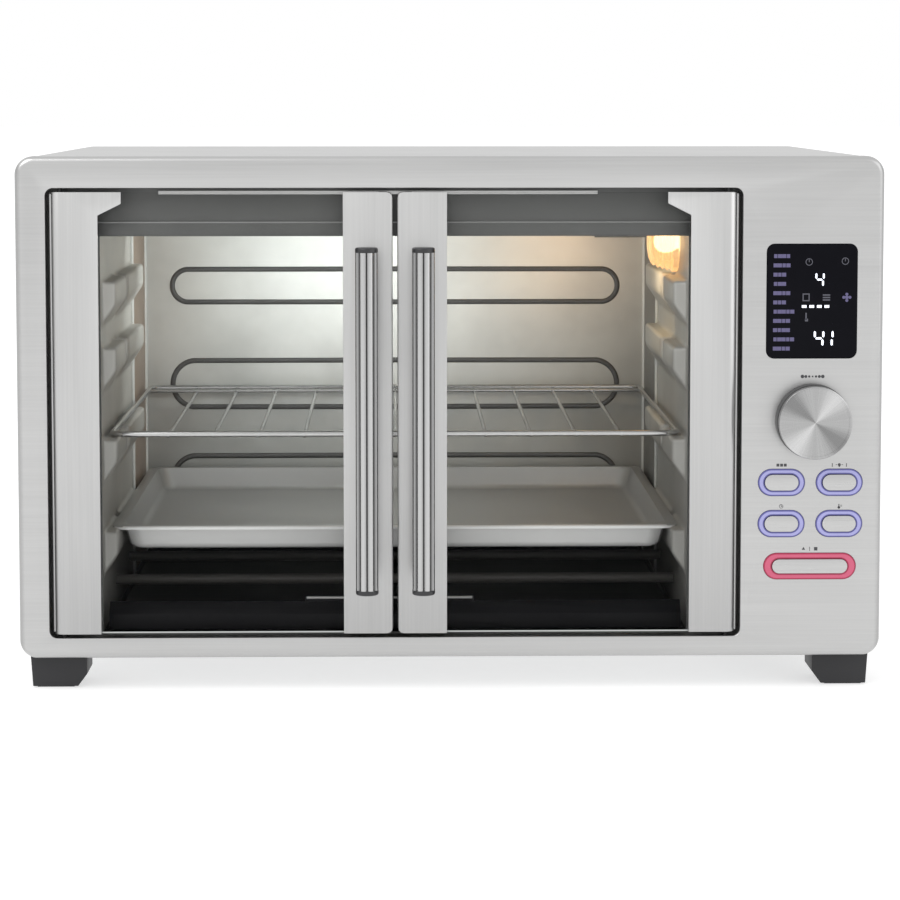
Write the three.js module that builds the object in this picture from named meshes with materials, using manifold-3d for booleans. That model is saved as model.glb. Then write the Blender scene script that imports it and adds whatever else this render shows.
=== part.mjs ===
// Countertop toaster oven with two French doors, a digital control panel and a convection fan.
// Millimetres, +Z up, the front faces -Y. Inside the oven group y is the depth behind the front face,
// and the group is moved so that the origin is the bottom centre of the whole object's box.
import * as THREE from "three";
import { mergeVertices } from "three/addons/utils/BufferGeometryUtils.js";
import Module from "manifold-3d";

const wasm = await Module();
wasm.setup();

// ---- Driving dimensions ----
const FIT = 0.3; // gap left between neighbouring sheets
const SHEET = 1; // wall of the casing and the cavity
const SKIN = 1.2; // wall of the visible stainless pressings

const FRAME_W = 560;
const FRAME_BOTTOM = 22;
const FRAME_TOP = 348;
const FRAME_CORNER = 12;
const FRAME_DEEP = 14;
const EDGE_ROUND = 4;
const BODY_DEEP = 365;

const DOORS_X = -36; // middle of the door opening, the cavity and everything in it
const OPENING_W = 449;
const OPENING_BOTTOM = 35.5;
const OPENING_TOP = 327.5;
const OPENING_CORNER = 5;
const JAMB_DEEP = 13;
const DOOR_GAP = 3;
const DOOR_BOTTOM = 38;
const DOOR_TOP = 325;
const DOOR_THICK = 12;
const DOOR_W = (OPENING_W - 3 * DOOR_GAP) / 2;
const PIN_IN = DOOR_THICK / 2; // hinge pin to the door's outer edge, and its depth
const PIN_R = 1.5;
const PIN_HOLE_R = 1.8;
const PIN_BOTTOM = 33;
const PIN_TOP = 330;
const HINGE_STILE_W = 30.7;
const CENTRE_STILE_W = 32;
const GLASS_FRONT = 2;
const GLASS_THICK = 4;

const HANDLE_X = 18; // from the middle of the opening
const HANDLE_OUT = 30; // bar's axis in front of the door
const HANDLE_R = 7.5;
const HANDLE_BOTTOM = 69;
const HANDLE_TOP = 291;
const POST_R = 4.5;
const POST_HEIGHTS = { upper: 255, lower: 107 };

const CAVITY_HALF = 192;
const CAVITY_FRONT = 16;
const CAVITY_BACK = 340;
const CAVITY_FLOOR = 36;
const CAVITY_TOP = 312;
const FACE = { half: 234, bottom: 28, top: 338, front: 14.3, bend: 305 };
const FACE_OPENING = { bottom: 36.3, top: 296 };
const HEAD_STRIP = { left: -188.8, right: 95.4, bottom: 323, top: 325.6, front: 12.6, back: 14 };
const RACK_LEVELS = [101, 161.5, 222, 265.5]; // tops of the pressed rack rests
const REST_HIGH = 30;
const REST_IN = 10;
const REST_SPANS = [
  [28, 95],
  [115, 225],
];

const HEATER_R = 3.5;
const HEATER_GAP = 0.7; // between a heater and its hole
const HEATER_OUT = 12; // past each wall
const HEATERS = {
  upper_front: { y: 150, z: 302 },
  upper_rear: { y: 260, z: 302 },
  lower_front: { y: 110, z: 55 },
  lower_rear: { y: 205, z: 55 },
};

const RACK = { half: 187, front: 40, rear: 331, z: 163.9, railR: 2, wireR: 1.4, pitch: 30 };
const TRAY = { rimHalf: 188, half: 181, front: 40, rear: 335, bottom: 86, rim: 102.4, wall: 1 };
const CRUMB = { half: 188, front: 21, rear: 334, bottom: 37, strip: 47, lip: 54.6, tab: 58 };

const LAMP_Y = 100;
const LAMP_Z = 288;
const LAMP_R = 21;
const FAN_Y = 285;
const FAN_Z = 165;
const FAN_R = 38;
const PROBE = { y: 300, z: 282, r: 2 };
const SHIELD_X = 186;
const CONTROLS_Y = 16;

const KNOB = { x: 234.3, z: 176.8, r: 24, out: 16, bushHoleR: 6 };
const DISPLAY = { x: 233.3, z: 254.3, w: 58.5, h: 74, r: 5 };
const SMALL_BUTTON = { capW: 21.8, capH: 10.3, ringW: 30.2, ringH: 17.4 };
const START_BUTTON = { capW: 49, capH: 9.2, ringW: 60, ringH: 17 };
const BUTTON_COLUMNS = [214.7, 252.3];
const BUTTON_ROWS = [136.3, 109.3];
const START = { x: 233.5, z: 81.4 };

const BASE_Z = 24;
const FOOT = { x0: 238, x1: 275, deep: 32, front: 15, rearFront: 318, taper: 1.5, chamferW: 6, chamferH: 9 };
const GLAND = { x: 232, z: 66, out: 3, r: 8 };
const SIDE_SLOTS = { from: 60, count: 9, pitch: 11, high: 3, front: 255, rear: 335 };
const REAR_SLOTS = { from: 255, count: 6, pitch: 11, high: 3.5, groups: [[-190, -40], [-10, 140]] };
const BAY_SLOTS = { from: 120, count: 12, pitch: 11, high: 3.5, groups: [[198, 258]] };
const BASE_SLOTS = { from: 60, count: 12, pitch: 20, wide: 5, left: 196, right: 256 };

const FRONT_MOST = -(HANDLE_OUT + HANDLE_R);
const REAR_MOST = BODY_DEEP + GLAND.out;
const THROUGH = 5; // how far a cutting tool stands out on each side of a sheet

// ---- Solids ----
function solidOf(geometry) {
  const bare = geometry.clone();
  bare.deleteAttribute("normal");
  bare.deleteAttribute("uv");
  const merged = mergeVertices(bare, 1e-4);
  return new wasm.Manifold(
    new wasm.Mesh({
      numProp: 3,
      vertProperties: merged.attributes.position.array,
      triVerts: new Uint32Array(merged.index.array),
    }),
  );
}

function geometryOf(solid) {
  const mesh = solid.getMesh();
  return new THREE.BufferGeometry()
    .setAttribute("position", new THREE.BufferAttribute(mesh.vertProperties, 3))
    .setIndex(new THREE.BufferAttribute(mesh.triVerts, 1))
    .toNonIndexed();
}

const join = (first, ...more) =>
  geometryOf(more.reduce((all, next) => all.add(solidOf(next)), solidOf(first)));
const cut = (first, ...tools) =>
  geometryOf(tools.reduce((all, next) => all.subtract(solidOf(next)), solidOf(first)));
const common = (first, second) => geometryOf(solidOf(first).intersect(solidOf(second)));

// ---- Shapes ----
function arc(cx, cy, r, fromDeg, toDeg, steps) {
  return Array.from({ length: steps + 1 }, (_, i) => {
    const a = THREE.MathUtils.degToRad(fromDeg + ((toDeg - fromDeg) * i) / steps);
    return new THREE.Vector2(cx + r * Math.cos(a), cy + r * Math.sin(a));
  });
}

function roundedRect(cx, cy, w, h, r, steps = 4) {
  const dx = w / 2 - r;
  const dy = h / 2 - r;
  return [
    ...arc(cx + dx, cy + dy, r, 0, 90, steps),
    ...arc(cx - dx, cy + dy, r, 90, 180, steps),
    ...arc(cx - dx, cy - dy, r, 180, 270, steps),
    ...arc(cx + dx, cy - dy, r, 270, 360, steps),
  ];
}

const rect = (x0, x1, y0, y1) => [
  new THREE.Vector2(x0, y0),
  new THREE.Vector2(x1, y0),
  new THREE.Vector2(x1, y1),
  new THREE.Vector2(x0, y1),
];

function shapeOf(outline, holes = []) {
  const shape = new THREE.Shape(outline);
  shape.holes = holes.map((hole) => new THREE.Path(hole));
  return shape;
}

// An outline drawn in plan, standing up from z0.
function upright(outline, z0, high, holes = []) {
  const options = { depth: high, bevelEnabled: false };
  return new THREE.ExtrudeGeometry(shapeOf(outline, holes), options).translate(0, 0, z0);
}

// An outline drawn as seen from the front, going back from y0.
function facing(outline, y0, deep, holes = []) {
  return upright(outline, 0, deep, holes).rotateX(Math.PI / 2).translate(0, y0 + deep, 0);
}

// An outline of depth and height, going right from x0.
const ACROSS = new THREE.Matrix4().makeBasis(
  new THREE.Vector3(0, 1, 0),
  new THREE.Vector3(0, 0, 1),
  new THREE.Vector3(1, 0, 0),
);
const across = (outline, x0, wide, holes = []) =>
  upright(outline, 0, wide, holes).applyMatrix4(ACROSS).translate(x0, 0, 0);

function box(x0, x1, y0, y1, z0, z1) {
  return new THREE.BoxGeometry(Math.abs(x1 - x0), y1 - y0, z1 - z0).translate(
    (x0 + x1) / 2,
    (y0 + y1) / 2,
    (z0 + z1) / 2,
  );
}

// A round bar between two points.
function bar(from, to, r, sides = 8) {
  const a = new THREE.Vector3(...from);
  const b = new THREE.Vector3(...to);
  const along = b.clone().sub(a);
  const turn = new THREE.Quaternion().setFromUnitVectors(
    new THREE.Vector3(0, 1, 0),
    along.clone().normalize(),
  );
  const middle = a.clone().add(b).multiplyScalar(0.5);
  return new THREE.CylinderGeometry(r, r, along.length(), sides)
    .applyQuaternion(turn)
    .translate(middle.x, middle.y, middle.z);
}

// A turned piece: the profile's points are (radius, distance along the axis).
const turned = (profile, sides) =>
  new THREE.LatheGeometry(
    profile.map(([r, along]) => new THREE.Vector2(r, along)),
    sides,
  );

// Rings of equal point counts joined into one closed skin, from the first cap to the last.
function loft(rings) {
  const count = rings[0].length;
  const points = rings.flat().flatMap((p) => [p.x, p.y, p.z]);
  const faces = [];
  for (let ring = 0; ring + 1 < rings.length; ring++)
    for (let i = 0; i < count; i++) {
      const a = ring * count + i;
      const b = ring * count + ((i + 1) % count);
      faces.push(a, b, b + count, a, b + count, a + count);
    }
  const flat = rings[0].map((p) => new THREE.Vector2(p.x, p.y));
  const cap = THREE.ShapeUtils.triangulateShape(flat, []);
  const last = (rings.length - 1) * count;
  for (const [a, b, c] of cap) {
    faces.push(a, c, b);
    faces.push(last + a, last + b, last + c);
  }
  return new THREE.BufferGeometry()
    .setAttribute("position", new THREE.Float32BufferAttribute(points, 3))
    .setIndex(faces)
    .toNonIndexed();
}

const ringAt = (outline, z) => outline.map((p) => new THREE.Vector3(p.x, p.y, z));

// ---- Finishes ----
const finish = (color, roughness, metalness, more = {}) =>
  new THREE.MeshStandardMaterial({ color, roughness, metalness, ...more });
const STEEL = finish(0xc4c4c4, 0.32, 1);
const CHROME = finish(0xd8d8d8, 0.15, 1);
const ALUMINIZED = finish(0xc2c6c2, 0.35, 0.9);
const DARK_METAL = finish(0x4c4c4c, 0.5, 0.6);
const BLACK_ENAMEL = finish(0x17181a, 0.3, 0.2);
const BLACK_PLASTIC = finish(0x16171a, 0.55, 0);
const GALVANIZED = finish(0xa8abac, 0.45, 0.9);
const GLASS = finish(0xf2f6f4, 0.05, 0, { transparent: true, opacity: 0.25 });
const LAMP_GLASS = finish(0xfff0c8, 0.1, 0, { transparent: true, opacity: 0.5 });
const CERAMIC = finish(0xe8e4da, 0.6, 0);
const DISPLAY_BLACK = finish(0x050507, 0.08, 0);
const BLUE_LIGHT = finish(0x9a98e0, 0.4, 0);
const RED_LIGHT = finish(0xd65c78, 0.4, 0);
const BOARD_GREEN = finish(0x1f5a38, 0.5, 0);

const oven = new THREE.Group();
oven.position.y = -(FRONT_MOST + REAR_MOST) / 2;

function add(name, geometry, material) {
  const mesh = new THREE.Mesh(geometry, material);
  mesh.name = name;
  oven.add(mesh);
}

// ---- Casing ----
const frameMiddle = (FRAME_BOTTOM + FRAME_TOP) / 2;
const openingMiddle = (OPENING_BOTTOM + OPENING_TOP) / 2;
const openingHigh = OPENING_TOP - OPENING_BOTTOM;
const pinX = (side) => DOORS_X + side * (OPENING_W / 2 - DOOR_GAP - PIN_IN);
const hingeLine = (side, z0, z1, r) => bar([pinX(side), PIN_IN, z0], [pinX(side), PIN_IN, z1], r, 12);

// A dish with a rounded front edge: the frame's outside, and inset by its wall, its hollow.
function frameDish(inset, round) {
  const outline = roundedRect(
    0,
    frameMiddle,
    FRAME_W - 2 * inset,
    FRAME_TOP - FRAME_BOTTOM - 2 * inset,
    FRAME_CORNER - inset,
    5,
  );
  return new THREE.ExtrudeGeometry(shapeOf(outline), {
    depth: 2 * FRAME_DEEP,
    bevelSize: round,
    bevelOffset: -round,
    bevelThickness: round,
    bevelSegments: 3,
  })
    .rotateX(Math.PI / 2)
    .translate(0, inset + round + 2 * FRAME_DEEP, 0);
}

const buttons = [
  { name: "mode_button", x: BUTTON_COLUMNS[0], z: BUTTON_ROWS[0], size: SMALL_BUTTON },
  { name: "light_button", x: BUTTON_COLUMNS[1], z: BUTTON_ROWS[0], size: SMALL_BUTTON },
  { name: "time_button", x: BUTTON_COLUMNS[0], z: BUTTON_ROWS[1], size: SMALL_BUTTON },
  { name: "temperature_button", x: BUTTON_COLUMNS[1], z: BUTTON_ROWS[1], size: SMALL_BUTTON },
  { name: "start_button", x: START.x, z: START.z, size: START_BUTTON },
];

const pill = (x, z, w, h, grow = 0) =>
  roundedRect(x, z, w + 2 * grow, h + 2 * grow, (h + 2 * grow) / 2 - 0.01, 5);

function frontFrame() {
  const shell = cut(
    frameDish(0, EDGE_ROUND),
    frameDish(SKIN, EDGE_ROUND - SKIN),
    box(-FRAME_W, FRAME_W, FRAME_DEEP, 4 * FRAME_DEEP, 0, 2 * FRAME_TOP),
  );
  const opening = roundedRect(DOORS_X, openingMiddle, OPENING_W, openingHigh, OPENING_CORNER);
  const jambOutside = roundedRect(
    DOORS_X,
    openingMiddle,
    OPENING_W + 2 * SKIN,
    openingHigh + 2 * SKIN,
    OPENING_CORNER + SKIN,
  );
  const through = (outline) => facing(outline, -FRAME_DEEP, 4 * FRAME_DEEP);
  return cut(
    join(shell, facing(jambOutside, SKIN / 2, JAMB_DEEP - SKIN / 2)),
    through(opening),
    through(roundedRect(DISPLAY.x, DISPLAY.z, DISPLAY.w + 2 * FIT, DISPLAY.h + 2 * FIT, DISPLAY.r + FIT)),
    bar([KNOB.x, -THROUGH, KNOB.z], [KNOB.x, THROUGH, KNOB.z], KNOB.bushHoleR, 16),
    ...buttons.map((b) => through(pill(b.x, b.z, b.size.ringW, b.size.ringH, FIT))),
    ...[-1, 1].map((side) => hingeLine(side, PIN_BOTTOM - THROUGH, PIN_TOP + THROUGH, PIN_HOLE_R)),
  );
}
add("front_frame", frontFrame(), STEEL);

const WRAP_HALF = FRAME_W / 2 - 1.5;
const WRAP_TOP = FRAME_TOP - 0.5;
const WRAP_CORNER = 10;
const WRAP_FRONT = FRAME_DEEP + FIT;
const WRAP_BACK = BODY_DEEP - SHEET - FIT;

const slotRow = (from, count, pitch, make) =>
  Array.from({ length: count }, (_, i) => make(from + i * pitch));

function outerWrapper() {
  const outside = [
    new THREE.Vector2(WRAP_HALF, BASE_Z),
    ...arc(WRAP_HALF - WRAP_CORNER, WRAP_TOP - WRAP_CORNER, WRAP_CORNER, 0, 90, 5),
    ...arc(-WRAP_HALF + WRAP_CORNER, WRAP_TOP - WRAP_CORNER, WRAP_CORNER, 90, 180, 5),
    new THREE.Vector2(-WRAP_HALF, BASE_Z),
  ];
  const insideHalf = WRAP_HALF - SHEET;
  const insideCorner = WRAP_CORNER - SHEET;
  const inside = [
    new THREE.Vector2(-insideHalf, BASE_Z),
    ...arc(-insideHalf + insideCorner, WRAP_TOP - WRAP_CORNER, insideCorner, 180, 90, 5),
    ...arc(insideHalf - insideCorner, WRAP_TOP - WRAP_CORNER, insideCorner, 90, 0, 5),
    new THREE.Vector2(insideHalf, BASE_Z),
  ];
  const sheet = facing([...outside, ...inside], WRAP_FRONT, WRAP_BACK - WRAP_FRONT);
  const { from, count, pitch, high, front, rear } = SIDE_SLOTS;
  const sideSlots = slotRow(from, count, pitch, (z) => box(-FRAME_W, FRAME_W, front, rear, z, z + high));
  return cut(sheet, ...sideSlots);
}
add("outer_wrapper", outerWrapper(), STEEL);

function rearCover() {
  const outline = [
    new THREE.Vector2(WRAP_HALF, BASE_Z),
    ...arc(WRAP_HALF - WRAP_CORNER, WRAP_TOP - WRAP_CORNER, WRAP_CORNER, 0, 90, 5),
    ...arc(-WRAP_HALF + WRAP_CORNER, WRAP_TOP - WRAP_CORNER, WRAP_CORNER, 90, 180, 5),
    new THREE.Vector2(-WRAP_HALF, BASE_Z),
  ];
  const y0 = BODY_DEEP - THROUGH;
  const y1 = BODY_DEEP + THROUGH;
  const slots = ({ from, count, pitch, high, groups }) =>
    groups.flatMap(([x0, x1]) => slotRow(from, count, pitch, (z) => box(x0, x1, y0, y1, z, z + high)));
  return cut(
    facing(outline, BODY_DEEP - SHEET, SHEET),
    ...slots(REAR_SLOTS),
    ...slots(BAY_SLOTS),
    bar([GLAND.x, y0, GLAND.z], [GLAND.x, y1, GLAND.z], GLAND.r + FIT, 20),
  );
}
add("rear_cover", rearCover(), GALVANIZED);

function basePlate() {
  const inside = WRAP_HALF - SHEET - FIT;
  const { from, count, pitch, wide, left, right } = BASE_SLOTS;
  return cut(
    box(-inside, inside, WRAP_FRONT, WRAP_BACK - FIT, BASE_Z, BASE_Z + SHEET),
    ...slotRow(from, count, pitch, (y) => box(left, right, y, y + wide, BASE_Z - THROUGH, BASE_Z + THROUGH)),
  );
}
add("base_plate", basePlate(), GALVANIZED);

// A tapered plastic block, chamfered on its lower inner side.
function foot(side, front) {
  const outline = [
    new THREE.Vector2(side * FOOT.x0, BASE_Z - FIT),
    new THREE.Vector2(side * FOOT.x1, BASE_Z - FIT),
    new THREE.Vector2(side * (FOOT.x1 - FOOT.taper), 0),
    new THREE.Vector2(side * (FOOT.x0 + FOOT.chamferW), 0),
    new THREE.Vector2(side * FOOT.x0, FOOT.chamferH),
  ];
  return facing(outline, front, FOOT.deep);
}
for (const [word, side] of [
  ["left", -1],
  ["right", 1],
]) {
  add(`foot_front_${word}`, foot(side, FOOT.front), BLACK_PLASTIC);
  add(`foot_rear_${word}`, foot(side, FOOT.rearFront), BLACK_PLASTIC);
}

// The bush that guides the mains lead through the rear cover.
const glandProfile = [
  [4, 0],
  [GLAND.r, 0],
  [GLAND.r, 9 + FIT],
  [11, 9 + FIT],
  [11, 10.5],
  [9, 12],
  [4, 12],
  [4, 0],
];
add("cord_gland", turned(glandProfile, 20).translate(GLAND.x, BODY_DEEP - 9, GLAND.z), BLACK_PLASTIC);

// ---- Cavity ----
const wallX = (side) => DOORS_X + side * CAVITY_HALF; // a side wall's inner face
const cavityFit = CAVITY_HALF - FIT;

// The dark inner face that the doors shut against, bent proud above its opening.
function innerFace() {
  const outline = rect(DOORS_X - FACE.half, DOORS_X + FACE.half, FACE.bottom, FACE.top);
  const opening = rect(wallX(-1) + 1, wallX(1) - 1, FACE_OPENING.bottom, FACE_OPENING.top);
  return join(
    facing(outline, FACE.front, SHEET, [opening]),
    box(wallX(-1), wallX(1), FACE.front - SKIN, FACE.front + 0.2, FACE_OPENING.top, FACE.bend),
  );
}
add("inner_face", innerFace(), DARK_METAL);
const { left, right, bottom, top, front, back } = HEAD_STRIP;
add("door_head_strip", box(left, right, front, back, bottom, top), STEEL);

// One rack rest's section: a ledge with a sloping underside. The wall inset gives its hollow.
function restSection(side, top, inset) {
  const x = (into) => wallX(side) - side * into;
  const root = inset > 0 ? -2 * SHEET : -SHEET / 2;
  return [
    new THREE.Vector2(x(root), top - inset),
    new THREE.Vector2(x(REST_IN - inset), top - inset),
    new THREE.Vector2(x(REST_IN - inset), top - REST_HIGH / 2),
    new THREE.Vector2(x(root), top - REST_HIGH + inset),
  ];
}

function sideWall(side, openings = []) {
  const inner = wallX(side);
  const outer = inner + side * SHEET;
  const plate = box(inner, outer, CAVITY_FRONT, CAVITY_BACK - FIT, CAVITY_FLOOR - SHEET, CAVITY_TOP + SHEET);
  const rests = RACK_LEVELS.flatMap((top) => REST_SPANS.map(([from, to]) => ({ top, from, to })));
  const bumps = rests.map((r) => facing(restSection(side, r.top, 0), r.from, r.to - r.from));
  const hollows = rests.map((r) =>
    facing(restSection(side, r.top, SHEET), r.from + SHEET, r.to - r.from - 2 * SHEET),
  );
  const heaterHoles = Object.values(HEATERS).map((h) =>
    bar([inner - THROUGH, h.y, h.z], [inner + THROUGH, h.y, h.z], HEATER_R + HEATER_GAP, 12),
  );
  return cut(join(plate, ...bumps), ...hollows, ...heaterHoles, ...openings);
}
add("side_wall_left", sideWall(-1), ALUMINIZED);

const throughRight = (y, z, r, sides = 16) =>
  bar([wallX(1) - THROUGH, y, z], [wallX(1) + THROUGH, y, z], r, sides);

// Slots of the fan's intake, each as long as its chord of the fan's circle.
const fanSlots = [-30, -20, -10, 0, 10, 20, 30].map((off) => {
  const half = Math.sqrt(FAN_R * FAN_R - off * off) - 2;
  const y = FAN_Y + off;
  return box(wallX(1) - THROUGH, wallX(1) + THROUGH, y - 2, y + 2, FAN_Z - half, FAN_Z + half);
});
const LAMP_HOLE_R = 16;
add(
  "side_wall_right",
  sideWall(1, [
    throughRight(LAMP_Y, LAMP_Z, LAMP_HOLE_R),
    throughRight(PROBE.y, PROBE.z, PROBE.r + FIT, 8),
    ...fanSlots,
  ]),
  ALUMINIZED,
);

// Three long loops pressed into the back wall to stiffen it.
const BEADS = [
  [228.8, 254.1],
  [148, 184],
  [74.5, 110.5],
];
const BEAD_HALF = 170.5;
const BEAD_WIDE = 4.5;
function backWall() {
  const beads = BEADS.map(([low, high]) => {
    const middle = (low + high) / 2;
    const loop = (inset) => pill(DOORS_X, middle, 2 * BEAD_HALF, high - low, -inset);
    return facing(loop(0), CAVITY_BACK - 1.5, 2, [loop(BEAD_WIDE)]);
  });
  const plate = box(
    wallX(-1) - SHEET,
    wallX(1) + SHEET,
    CAVITY_BACK,
    CAVITY_BACK + SHEET,
    CAVITY_FLOOR - 2 * SHEET,
    CAVITY_TOP + 2 * SHEET,
  );
  return join(plate, ...beads);
}
add("back_wall", backWall(), ALUMINIZED);

const cavityPlate = (z) =>
  box(DOORS_X - cavityFit, DOORS_X + cavityFit, CAVITY_FRONT, CAVITY_BACK - FIT, z, z + SHEET);
add("ceiling_plate", cavityPlate(CAVITY_TOP), ALUMINIZED);
add("floor_plate", cavityPlate(CAVITY_FLOOR - SHEET), BLACK_ENAMEL);

for (const [word, h] of Object.entries(HEATERS))
  add(
    `heater_${word}`,
    bar([wallX(-1) - HEATER_OUT, h.y, h.z], [wallX(1) + HEATER_OUT, h.y, h.z], HEATER_R, 12),
    DARK_METAL,
  );

// ---- Lamp, fan and probe, on the right wall ----
const WALL_OUTSIDE = wallX(1) + SHEET + FIT;
const outwards = (profile, sides, y, z) =>
  turned(profile, sides).rotateZ(-Math.PI / 2).translate(WALL_OUTSIDE, y, z);

const lampCoverProfile = [
  [0, 20],
  [16, 18],
  [19, 11],
  [19, 0],
  [LAMP_R, 0],
  [LAMP_R, 12],
  [17, 20],
  [0, 22],
];
add(
  "lamp_cover",
  turned(lampCoverProfile, 24).rotateZ(Math.PI / 2).translate(wallX(1) - FIT, LAMP_Y, LAMP_Z),
  LAMP_GLASS,
);
const bulbProfile = [
  [0, 0],
  [5, 0],
  [5, 16],
  [8, 20],
  [8, 27],
  [5, 32],
  [0, 33],
];
add(
  "lamp_bulb",
  turned(bulbProfile, 14).rotateZ(Math.PI / 2).translate(WALL_OUTSIDE + 15, LAMP_Y, LAMP_Z),
  LAMP_GLASS,
);
const holderProfile = [
  [5.5, 0],
  [18, 0],
  [18, 1.2],
  [11, 1.2],
  [11, 22],
  [5.5, 22],
  [5.5, 0],
];
add("lamp_holder", outwards(holderProfile, 16, LAMP_Y, LAMP_Z), CERAMIC);

const HOUSING_R = FAN_R + 7;
const HOUSING_DEEP = 24;
const SHAFT_R = 2;
const housingProfile = [
  [SHAFT_R + 2, HOUSING_DEEP - SHEET],
  [HOUSING_R, HOUSING_DEEP - SHEET],
  [HOUSING_R, 0],
  [HOUSING_R + 5, 0],
  [HOUSING_R + 5, SHEET],
  [HOUSING_R + SHEET, SHEET],
  [HOUSING_R + SHEET, HOUSING_DEEP],
  [SHAFT_R + 2, HOUSING_DEEP],
  [SHAFT_R + 2, HOUSING_DEEP - SHEET],
];
add("fan_housing", outwards(housingProfile, 24, FAN_Y, FAN_Z), ALUMINIZED);

function fanWheel() {
  const blades = Array.from({ length: 8 }, (_, i) =>
    box(4, 15.5, 12, FAN_R - 2, -0.6, 0.6).rotateX((i * Math.PI) / 4),
  );
  return join(
    bar([15, 0, 0], [16, 0, 0], FAN_R - 4, 24),
    bar([10, 0, 0], [19, 0, 0], 7, 12),
    bar([18, 0, 0], [46, 0, 0], SHAFT_R, 8),
    ...blades,
  ).translate(WALL_OUTSIDE, FAN_Y, FAN_Z);
}
add("fan_wheel", fanWheel(), ALUMINIZED);

const MOTOR_X = SHIELD_X + SHEET + FIT;
const motorProfile = [
  [0, 24],
  [SHAFT_R + FIT, 24],
  [SHAFT_R + FIT, 0],
  [22, 0],
  [22, 26],
  [0, 26],
];
add(
  "fan_motor",
  turned(motorProfile, 20).rotateZ(-Math.PI / 2).translate(MOTOR_X, FAN_Y, FAN_Z),
  GALVANIZED,
);

add(
  "temperature_probe",
  join(
    bar([wallX(1) - 42, PROBE.y, PROBE.z], [WALL_OUTSIDE + 6, PROBE.y, PROBE.z], PROBE.r, 8),
    bar([WALL_OUTSIDE, PROBE.y, PROBE.z], [WALL_OUTSIDE + 4, PROBE.y, PROBE.z], 5, 12),
  ),
  CHROME,
);

// The sheet that keeps the cavity's heat out of the control bay.
function bayShield() {
  const plate = box(SHIELD_X, SHIELD_X + SHEET, CAVITY_FRONT + 4, WRAP_BACK - 5, BASE_Z + 3, WRAP_TOP - 8);
  const shaftHole = bar([SHIELD_X - THROUGH, FAN_Y, FAN_Z], [SHIELD_X + THROUGH, FAN_Y, FAN_Z], 5, 12);
  return cut(plate, shaftHole);
}
add("bay_shield", bayShield(), GALVANIZED);

// ---- Rack and trays ----
function wireRack() {
  const { half, front, rear, z, railR, wireR, pitch } = RACK;
  const left = DOORS_X - half;
  const right = DOORS_X + half;
  const rails = [
    bar([left, front, z], [left, rear, z], railR),
    bar([right, front, z], [right, rear, z], railR),
    bar([left - railR, front, z], [right + railR, front, z], railR),
    bar([left - railR, rear, z], [right + railR, rear, z], railR),
  ];
  const wires = slotRow(DOORS_X - 5 * pitch, 11, pitch, (x) =>
    bar([x, front - railR, z + 2.5], [x, rear + railR, z + 2.5], wireR, 6),
  );
  return join(...rails, ...wires);
}
add("wire_rack", wireRack(), CHROME);

function bakingTray() {
  const { rimHalf, half, front, rear, bottom, rim, wall } = TRAY;
  const middle = (front + rear) / 2;
  const long = rear - front;
  const flange = rimHalf - half;
  const plan = (inset, r) =>
    roundedRect(DOORS_X, middle, 2 * (half - inset), long - 2 * (flange + inset), r, 3);
  const outside = loft([ringAt(plan(7, 14), bottom), ringAt(plan(0, 18), rim)]);
  const inside = loft([ringAt(plan(7 + wall, 13), bottom + wall), ringAt(plan(wall, 17), rim + wall)]);
  const flangeOutline = roundedRect(DOORS_X, middle, 2 * rimHalf, long, 22, 4);
  return cut(join(outside, upright(flangeOutline, rim - wall, wall)), inside);
}
add("baking_tray", bakingTray(), ALUMINIZED);

// The crumb tray's folded front: a strip, a sloping lip and a pull tab.
function crumbTray() {
  const { half, front, rear, bottom, strip, lip, tab } = CRUMB;
  const x0 = DOORS_X - half;
  const slope = 7;
  const point = (y, z) => new THREE.Vector2(y, z);
  const section = [
    point(rear, bottom),
    point(rear, bottom + SHEET),
    point(front + SHEET, bottom + SHEET),
    point(front + SHEET, strip - 0.4),
    point(front + SHEET + slope, lip - 0.4),
    point(front + slope, lip),
    point(front, strip),
    point(front, bottom),
  ];
  const x1 = DOORS_X + half;
  const rimInside = rect(x0 + SHEET, x1 - SHEET, front + 0.7, rear - SHEET);
  return join(
    across(section, x0, x1 - x0),
    upright(rect(x0, x1, front + 0.3, rear), bottom + 0.5, 5.5, [rimInside]),
    box(-95.5, 15.6, front + slope - 0.6, front + slope + 0.6, lip - 2, tab),
  );
}
add("crumb_tray", crumbTray(), BLACK_ENAMEL);

// ---- Doors ----
const GUSSET = { wide: 15, high: 7.5, slope: 15 };
const STILE_SKIN = 1.7;
const HINGE_BODY = 15.5;
const CENTRE_BODY = 9.5;
const doorHigh = DOOR_TOP - DOOR_BOTTOM;

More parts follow.
